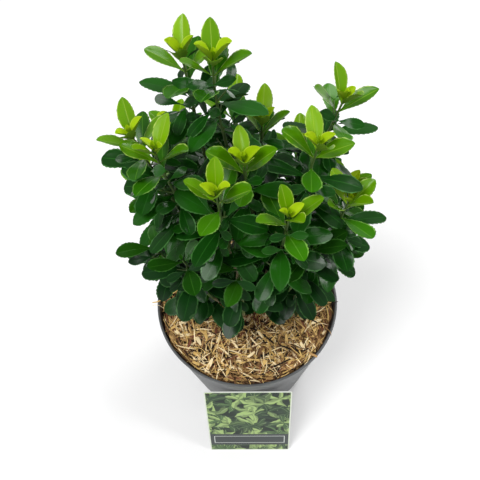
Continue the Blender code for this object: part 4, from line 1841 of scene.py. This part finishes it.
class Age(Enum):
    """How old a leaf is, or that it grew in the shade, which gives its outline and its colours. The shade
    ages' darker greens are partly the leaves' own and partly painted shade under the crown.
    """

    TIP = auto()
    LIME = auto()
    FRESH = auto()
    MID = auto()
    DARK = auto()
    SHADE_MID = auto()
    SHADE_DARK = auto()

    @classmethod
    def of(cls, leaf: Leaf, shaded: bool) -> "Age":
        """Give a leaf's age.

        Args:
            leaf: the leaf.
            shaded: whether its shoot grew in the shade.

        Returns:
            The age.
        """
        young = (cls.TIP, cls.LIME, cls.FRESH, cls.MID)
        old = leaf.age >= len(young)
        if shaded:
            return cls.SHADE_DARK if old else cls.SHADE_MID
        return cls.DARK if old else young[leaf.age]


@dataclass(frozen=True)
class LeafLook:
    """The outline, bends and colours of the leaves of one age, as shares of their length."""

    half_width: float
    base_power: float
    tip_power: float
    fold: float
    cup: float
    curl: float
    tints: tuple[Colour, Colour, Colour]
    rib: Colour
    rim: Colour
    under: Colour
    roughness: float
    tooth: float = 0.042
    stalk: float = 0.075
    specular: float = 0.24
    slot: str = "leaf_green"
    rim_matt: float = 0.1
    rim_specular: float = 0.25
    under_roughness: float = 0.62
    under_specular: float = 0.20

    def finishes(self, name: str) -> list[Material]:
        """Make the finishes of the zones: three tints, the rib, the rim and the underside.

        Args:
            name: what their names start with.

        Returns:
            The materials.
        """
        blades = [PlainFinish(f"{name}_blade_{i + 1}", tint, self.roughness, self.specular)
                  for i, tint in enumerate(self.tints)]
        rest = [PlainFinish(f"{name}_rib", self.rib, self.roughness, self.specular),
                PlainFinish(f"{name}_rim", self.rim, self.roughness + self.rim_matt, self.rim_specular),
                PlainFinish(f"{name}_under", self.under, self.under_roughness, self.under_specular)]
        return [finish.material() for finish in blades + rest]


LEAF_LOOKS = {
    Age.TIP: LeafLook(0.245, 0.85, 0.46, 0.30, 0.60, 0.02, ((158, 190, 12), (146, 182, 8), (168, 198, 22)),
                      (174, 198, 46), (186, 206, 60), (136, 164, 24), 0.34, 0.0),
    Age.LIME: LeafLook(0.206, 1.15, 0.60, 0.26, 0.26, 0.06, ((110, 157, 2), (97, 145, 2), (120, 165, 6)),
                       (140, 172, 46), (168, 194, 84), (92, 128, 24), 0.28, 0.020),
    Age.FRESH: LeafLook(0.215, 1.35, 0.56, 0.24, 0.12, 0.12, ((79, 131, 2), (67, 119, 2), (91, 141, 6)),
                        (114, 152, 40), (146, 178, 76), (76, 114, 26), 0.23, 0.030),
    Age.MID: LeafLook(0.219, 1.45, 0.56, 0.20, 0.00, 0.18, ((49, 108, 5), (40, 96, 5), (60, 118, 9)),
                      (78, 132, 34), (108, 154, 64), (64, 104, 32), 0.23, specular=0.21),
    Age.DARK: LeafLook(0.220, 1.45, 0.54, 0.16, -0.10, 0.24, ((19, 69, 9), (14, 59, 8), (26, 80, 12)),
                       (34, 86, 24), (57, 108, 46), (46, 80, 34), 0.23, specular=0.18),
    # The low shoots' leaves, darker than the sunny ones of the same age: partly their own darker green,
    # partly painted shade under the crown
    Age.SHADE_MID: LeafLook(0.219, 1.45, 0.56, 0.18, -0.02, 0.18, ((31, 80, 10), (25, 70, 10), (39, 90, 12)),
                            (48, 98, 26), (60, 112, 40), (54, 90, 36), 0.27, specular=0.18,
                            slot="leaf_shade"),
    Age.SHADE_DARK: LeafLook(0.220, 1.45, 0.54, 0.14, -0.12, 0.26, ((14, 51, 14), (11, 44, 13), (18, 59, 16)),
                             (27, 69, 23), (42, 88, 34), (42, 74, 34), 0.28, specular=0.17,
                             slot="leaf_shade"),
}


@dataclass(frozen=True)
class Bends:
    """How one leaf bends: its fold, cup, curl, sway, twist and wavy margin, as shares of its length."""

    fold: float
    cup: float
    curl: float
    sway: float
    twist: float
    wave: float
    phase: float
    waves: float = 9.0
    lag: float = 1.2

    def spot(self, along: float, width: float, share: float, drop: float) -> Vector:
        """Give a point of the leaf.

        Args:
            along: the way along it.
            width: its half width there.
            share: the way across, from -1 at one margin to 1 at the other.
            drop: how far the point lies under the upper face.

        Returns:
            The point.
        """
        off = abs(share)
        rise = width * (self.fold * off + self.cup * off ** 2)
        rise += self.wave * off * math.sin(self.phase + self.waves * along + math.copysign(self.lag, share))
        if along in (0.0, 1.0):
            rise = 0.0
        y, z = width * share, rise - drop
        lean = self.twist * along
        across = y * math.cos(lean) - z * math.sin(lean) + self.sway * along ** 2
        return Vector((along, across, y * math.sin(lean) + z * math.cos(lean) - self.curl * along ** 2))


@dataclass
class Foliage:
    """The leaves of the shrub, one piece for each age.

    A leaf is a row of rings, each of RING vertices: eight across its upper face and three under it.
    RIB, RIM and UNDER are the zones that follow those of the TINTS.
    """

    RING = 11
    TINTS = 3
    RIB, RIM, UNDER = 3, 4, 5

    growth: Growth
    variants: int = 4
    points: Pair = (-0.02, 0.26)
    rows: tuple[float, ...] = (0.0, 0.08, 0.24, 0.42, 0.60, 0.78, 0.93, 1.0)
    teeth: tuple[tuple[float, int], ...] = ((0.38, 1), (0.54, -1), (0.88, 1))
    rib_share: float = 0.040
    rim_share: float = 0.935
    mid_share: float = 0.50
    stalk_width: float = 0.019
    thickness: float = 0.012
    quilt: float = 0.0075
    crisp: float = math.radians(75)
    stretches: Pair = (0.94, 1.04)
    thin_end: float = 0.06
    thin_share: float = 0.25
    side_keel: float = 0.7
    bend_shares: Pair = (0.6, 1.3)
    cup_jitter: float = 0.08
    sway: float = 0.05
    twist: float = 0.22
    wave: float = 0.026

    def half_width(self, look: LeafLook, along: float, point: float) -> float:
        """Give a leaf's half width at a way along it.

        Args:
            look: the leaf's look.
            along: the way, as a share of its length.
            point: how pointed its tip is, from 0 for a blunt one.

        Returns:
            The half width.
        """
        share = (along - look.stalk) / (1 - look.stalk)
        if share <= 0:
            return self.stalk_width
        a, b = look.base_power - point, look.tip_power + point
        peak = a ** a * b ** b / (a + b) ** (a + b)
        return max(look.half_width * share ** a * (1 - share) ** b / peak, self.stalk_width * (1 - share))

    def bends(self, look: LeafLook, chance: random.Random) -> Bends:
        """Draw the bends of one leaf.

        Args:
            look: the leaf's look.
            chance: the source of its chances.

        Returns:
            The bends.
        """
        return Bends(look.fold * chance.uniform(*self.bend_shares),
                     look.cup + chance.uniform(-self.cup_jitter, self.cup_jitter),
                     look.curl * chance.uniform(*self.bend_shares), chance.uniform(-self.sway, self.sway),
                     chance.uniform(-self.twist, self.twist), chance.uniform(0.0, self.wave),
                     chance.uniform(0, math.tau))

    @staticmethod
    def face(*corners: int) -> tuple[int, ...]:
        """Give a face's corners, each named once, because the leaf's last row ends in one point."""
        return tuple(dict.fromkeys(corners))

    def blade(self, name: str, look: LeafLook, zone: int, chance: random.Random) -> Mesh:
        """Make one leaf of unit length along X, its upper face to +Z, with a toothed margin.

        Args:
            name: the mesh's name.
            look: its outline and bends.
            zone: the zone of its blade.
            chance: the source of its chances.

        Returns:
            The leaf.
        """
        bends = self.bends(look, chance)
        stretch = chance.uniform(*self.stretches)
        point = chance.uniform(*self.points)
        shares = (-1.0, -self.rim_share, -self.mid_share, -self.rib_share, self.rib_share, self.mid_share,
                  self.rim_share, 1.0)
        corners = []
        for row, along in enumerate(self.rows[:-1]):
            width = self.half_width(look, along, point) * stretch * (1 - look.tooth * (row > 1))
            relief = self.quilt * (row > 1)
            ripple = relief * (-1) ** row
            line = [bends.spot(along, width, share, ripple * (abs(share) == self.mid_share))
                    for share in shares]
            inwards = (1 - self.rim_share) / (1 - self.mid_share)
            line[1], line[-2] = line[0].lerp(line[2], inwards), line[-1].lerp(line[-3], inwards)
            full = math.sin(math.pi * (self.thin_end + (1 - self.thin_end) * along)) ** 0.5
            keel = self.thickness * (self.thin_share + (1 - self.thin_share) * full)
            drops = (relief + keel * self.side_keel, keel, relief + keel * self.side_keel)
            corners += line + [bends.spot(along, width, share, drop)
                               for share, drop in zip((-self.mid_share, 0.0, self.mid_share), drops)]
        tip = len(corners)
        corners.append(bends.spot(1.0, 0.0, 0.0, 0.0))
        count = len(self.teeth)
        for row, (low, high) in enumerate(zip(self.rows, self.rows[1:])):
            for side, margin in ((-1.0, row * self.RING), (1.0, row * self.RING + 7)):
                start, end = corners[margin], corners[min(margin + self.RING, tip)]
                for share, out in self.teeth:
                    along = low + (high - low) * share
                    width = self.half_width(look, along, point) * stretch
                    width *= 1 + out * look.tooth * (low > 0.0)
                    spot = bends.spot(along, width, side, 0.0)
                    spot.z = start.z + (end.z - start.z) * share
                    corners.append(spot)
        faces, zones = [(*range(8), 10, 9, 8)], [self.RIB]
        last = len(self.rows) - 2
        for row in range(last + 1):
            a, b = row * self.RING, (row + 1) * self.RING
            left = tuple(tip + 1 + 2 * count * row + i for i in range(count))
            right = tuple(i + count for i in left)
            ends = [tip] * self.RING if row == last else list(range(b, b + self.RING))
            faces += [self.face(a, *left, ends[0], ends[1], a + 1),
                      self.face(a + 6, ends[6], ends[7], *right[::-1], a + 7)]
            faces += [self.face(ends[i], ends[i + 1], a + i + 1, a + i) for i in range(1, 6)]
            faces += [self.face(ends[8], ends[0], *left[::-1], a, a + 8),
                      self.face(ends[9], ends[8], a + 8, a + 9),
                      self.face(ends[10], ends[9], a + 9, a + 10),
                      self.face(a + 7, *right, ends[7], ends[10], a + 10)]
            rim = zone if row == last else self.RIM
            upper = [rim, rim, zone, zone, self.RIB, zone, zone]
            zones += [self.RIB] * 11 if row == 0 else upper + [self.UNDER] * 4
        mesh = mesh_from(name, corners, faces, zones)
        mesh.set_sharp_from_angle(angle=self.crisp)
        return mesh

    def placement(self, leaf: Leaf, chance: random.Random) -> Placement:
        """Say where a leaf goes and which shape it is."""
        turn = Matrix((leaf.axis, leaf.face.cross(leaf.axis), leaf.face)).transposed().to_quaternion()
        return Placement(leaf.root, turn, leaf.length, chance.randrange(self.TINTS * self.variants))

    def build(self) -> None:
        """Build the leaves and dress them."""
        chance = random.Random(f"{SEED} blades")
        for age, look in LEAF_LOOKS.items():
            chosen = [leaf for leaf in self.growth.leaves
                      if Age.of(leaf, bool(self.growth.routes[leaf.shoot].shoot.shade)) is age]
            name = age.name.lower() + "_leaves"
            shapes = [self.blade(f"{name}_{i:02d}", look, i % self.TINTS, chance)
                      for i in range(self.TINTS * self.variants)]
            scatter = Scatter(name, look.finishes(age.name.lower()))
            mesh = scatter.place([self.placement(leaf, chance) for leaf in chosen], shapes)
            nodes = sorted({"foliage_" + leaf.shoot for leaf in chosen})
            add_piece(name, mesh, look.slot, nodes)


# Studio

@dataclass
class Studio:
    """The pale floor, the soft light and the camera at the photo's angle."""

    focal: float = 560.1
    pixels: int = 480
    sensor: float = 36.0
    pitch: float = math.radians(58.5036)
    roll: float = math.radians(-3.4171)
    eye: Triple = (-0.00355, -0.25768, 0.69232)
    near: float = 0.01
    floor_size: float = 6.0
    floor_finish: PlainFinish = PlainFinish("studio_floor", (250, 250, 250), 0.9, 0.1)
    world_strength: float = 0.42
    aim: Triple = (0.0, 0.0, 0.25)
    lamps: tuple[tuple[str, Triple, float, float], ...] = (
        ("key_softbox", (-1.00, -0.50, 2.30), 1.30, 37.0), ("back_softbox", (0.90, 0.90, 2.10), 1.00, 17.0),
        ("side_softbox", (0.75, -0.20, 1.00), 0.22, 2.4), ("front_softbox", (-0.15, -0.95, 1.05), 0.18, 1.6),
    )

    def floor(self) -> bpy.types.Object:
        """Lay the floor.

        Returns:
            The floor.
        """
        half = self.floor_size / 2
        places = ((-half, -half), (half, -half), (half, half), (-half, half))
        corners = [Vector((x, y, 0.0)) for x, y in places]
        mesh = mesh_from("studio_floor", corners, [(0, 1, 2, 3)])
        mesh.materials.append(self.floor_finish.material())
        return new_object("studio_floor", mesh)

    def lights(self) -> list[bpy.types.Object]:
        """Hang the softboxes.

        Returns:
            The lights.
        """
        hung = []
        for name, place, size, power in self.lamps:
            light = bpy.data.lights.new(name, "AREA")
            light.shape = "DISK"
            light.size = size
            light.energy = power
            item = new_object(name, light)
            item.location = place
            item.rotation_euler = (Vector(self.aim) - item.location).to_track_quat("-Z", "Y").to_euler()
            hung.append(item)
        return hung

    def camera(self) -> bpy.types.Object:
        """Set up the camera as it stood for the photo.

        Returns:
            The camera.
        """
        data = bpy.data.cameras.new("photo_camera")
        data.sensor_width = self.sensor
        data.lens = self.focal / self.pixels * self.sensor
        data.clip_start = self.near
        forward = Vector((0.0, math.cos(self.pitch), -math.sin(self.pitch)))
        up = Vector((0.0, math.sin(self.pitch), math.cos(self.pitch)))
        turn = Quaternion(-forward, self.roll)
        right, up = turn @ RIGHT, turn @ up
        item = new_object("photo_camera", data)
        item.matrix_world = Matrix.Translation(self.eye) @ Matrix((right, up, -forward)).transposed().to_4x4()
        bpy.context.scene.camera = item
        return item

    def build(self) -> None:
        """Build the studio."""
        scene = bpy.context.scene
        world = bpy.data.worlds.new("studio")
        world.use_nodes = True
        background = world.node_tree.nodes["Background"]
        background.inputs["Color"].default_value = (1.0, 1.0, 1.0, 1.0)
        background.inputs["Strength"].default_value = self.world_strength
        scene.world = world
        scene.view_settings.view_transform = "Standard"
        self.floor()
        self.camera()
        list(self.lights())


@dataclass
class PottedSpindle:
    """The whole plant."""

    pot: NurseryPot = field(default_factory=NurseryPot)
    rim_gap: float = 0.0015

    def build(self) -> None:
        """Build every part of the plant."""
        bed = MulchBed(self.pot)
        growth = Growth(bed.top, self.pot.height + self.rim_gap)
        growth.grow()
        self.pot.build()
        bed.build()
        PictureCard(self.pot).build()
        Limbs(growth).build()
        Foliage(growth).build()


def main() -> None:
    """Build the plant and the studio."""
    logging.basicConfig(level=logging.INFO, format="%(name)s: %(message)s")
    PottedSpindle().build()
    Studio().build()
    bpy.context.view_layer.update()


if __name__ == "__main__":
    main()
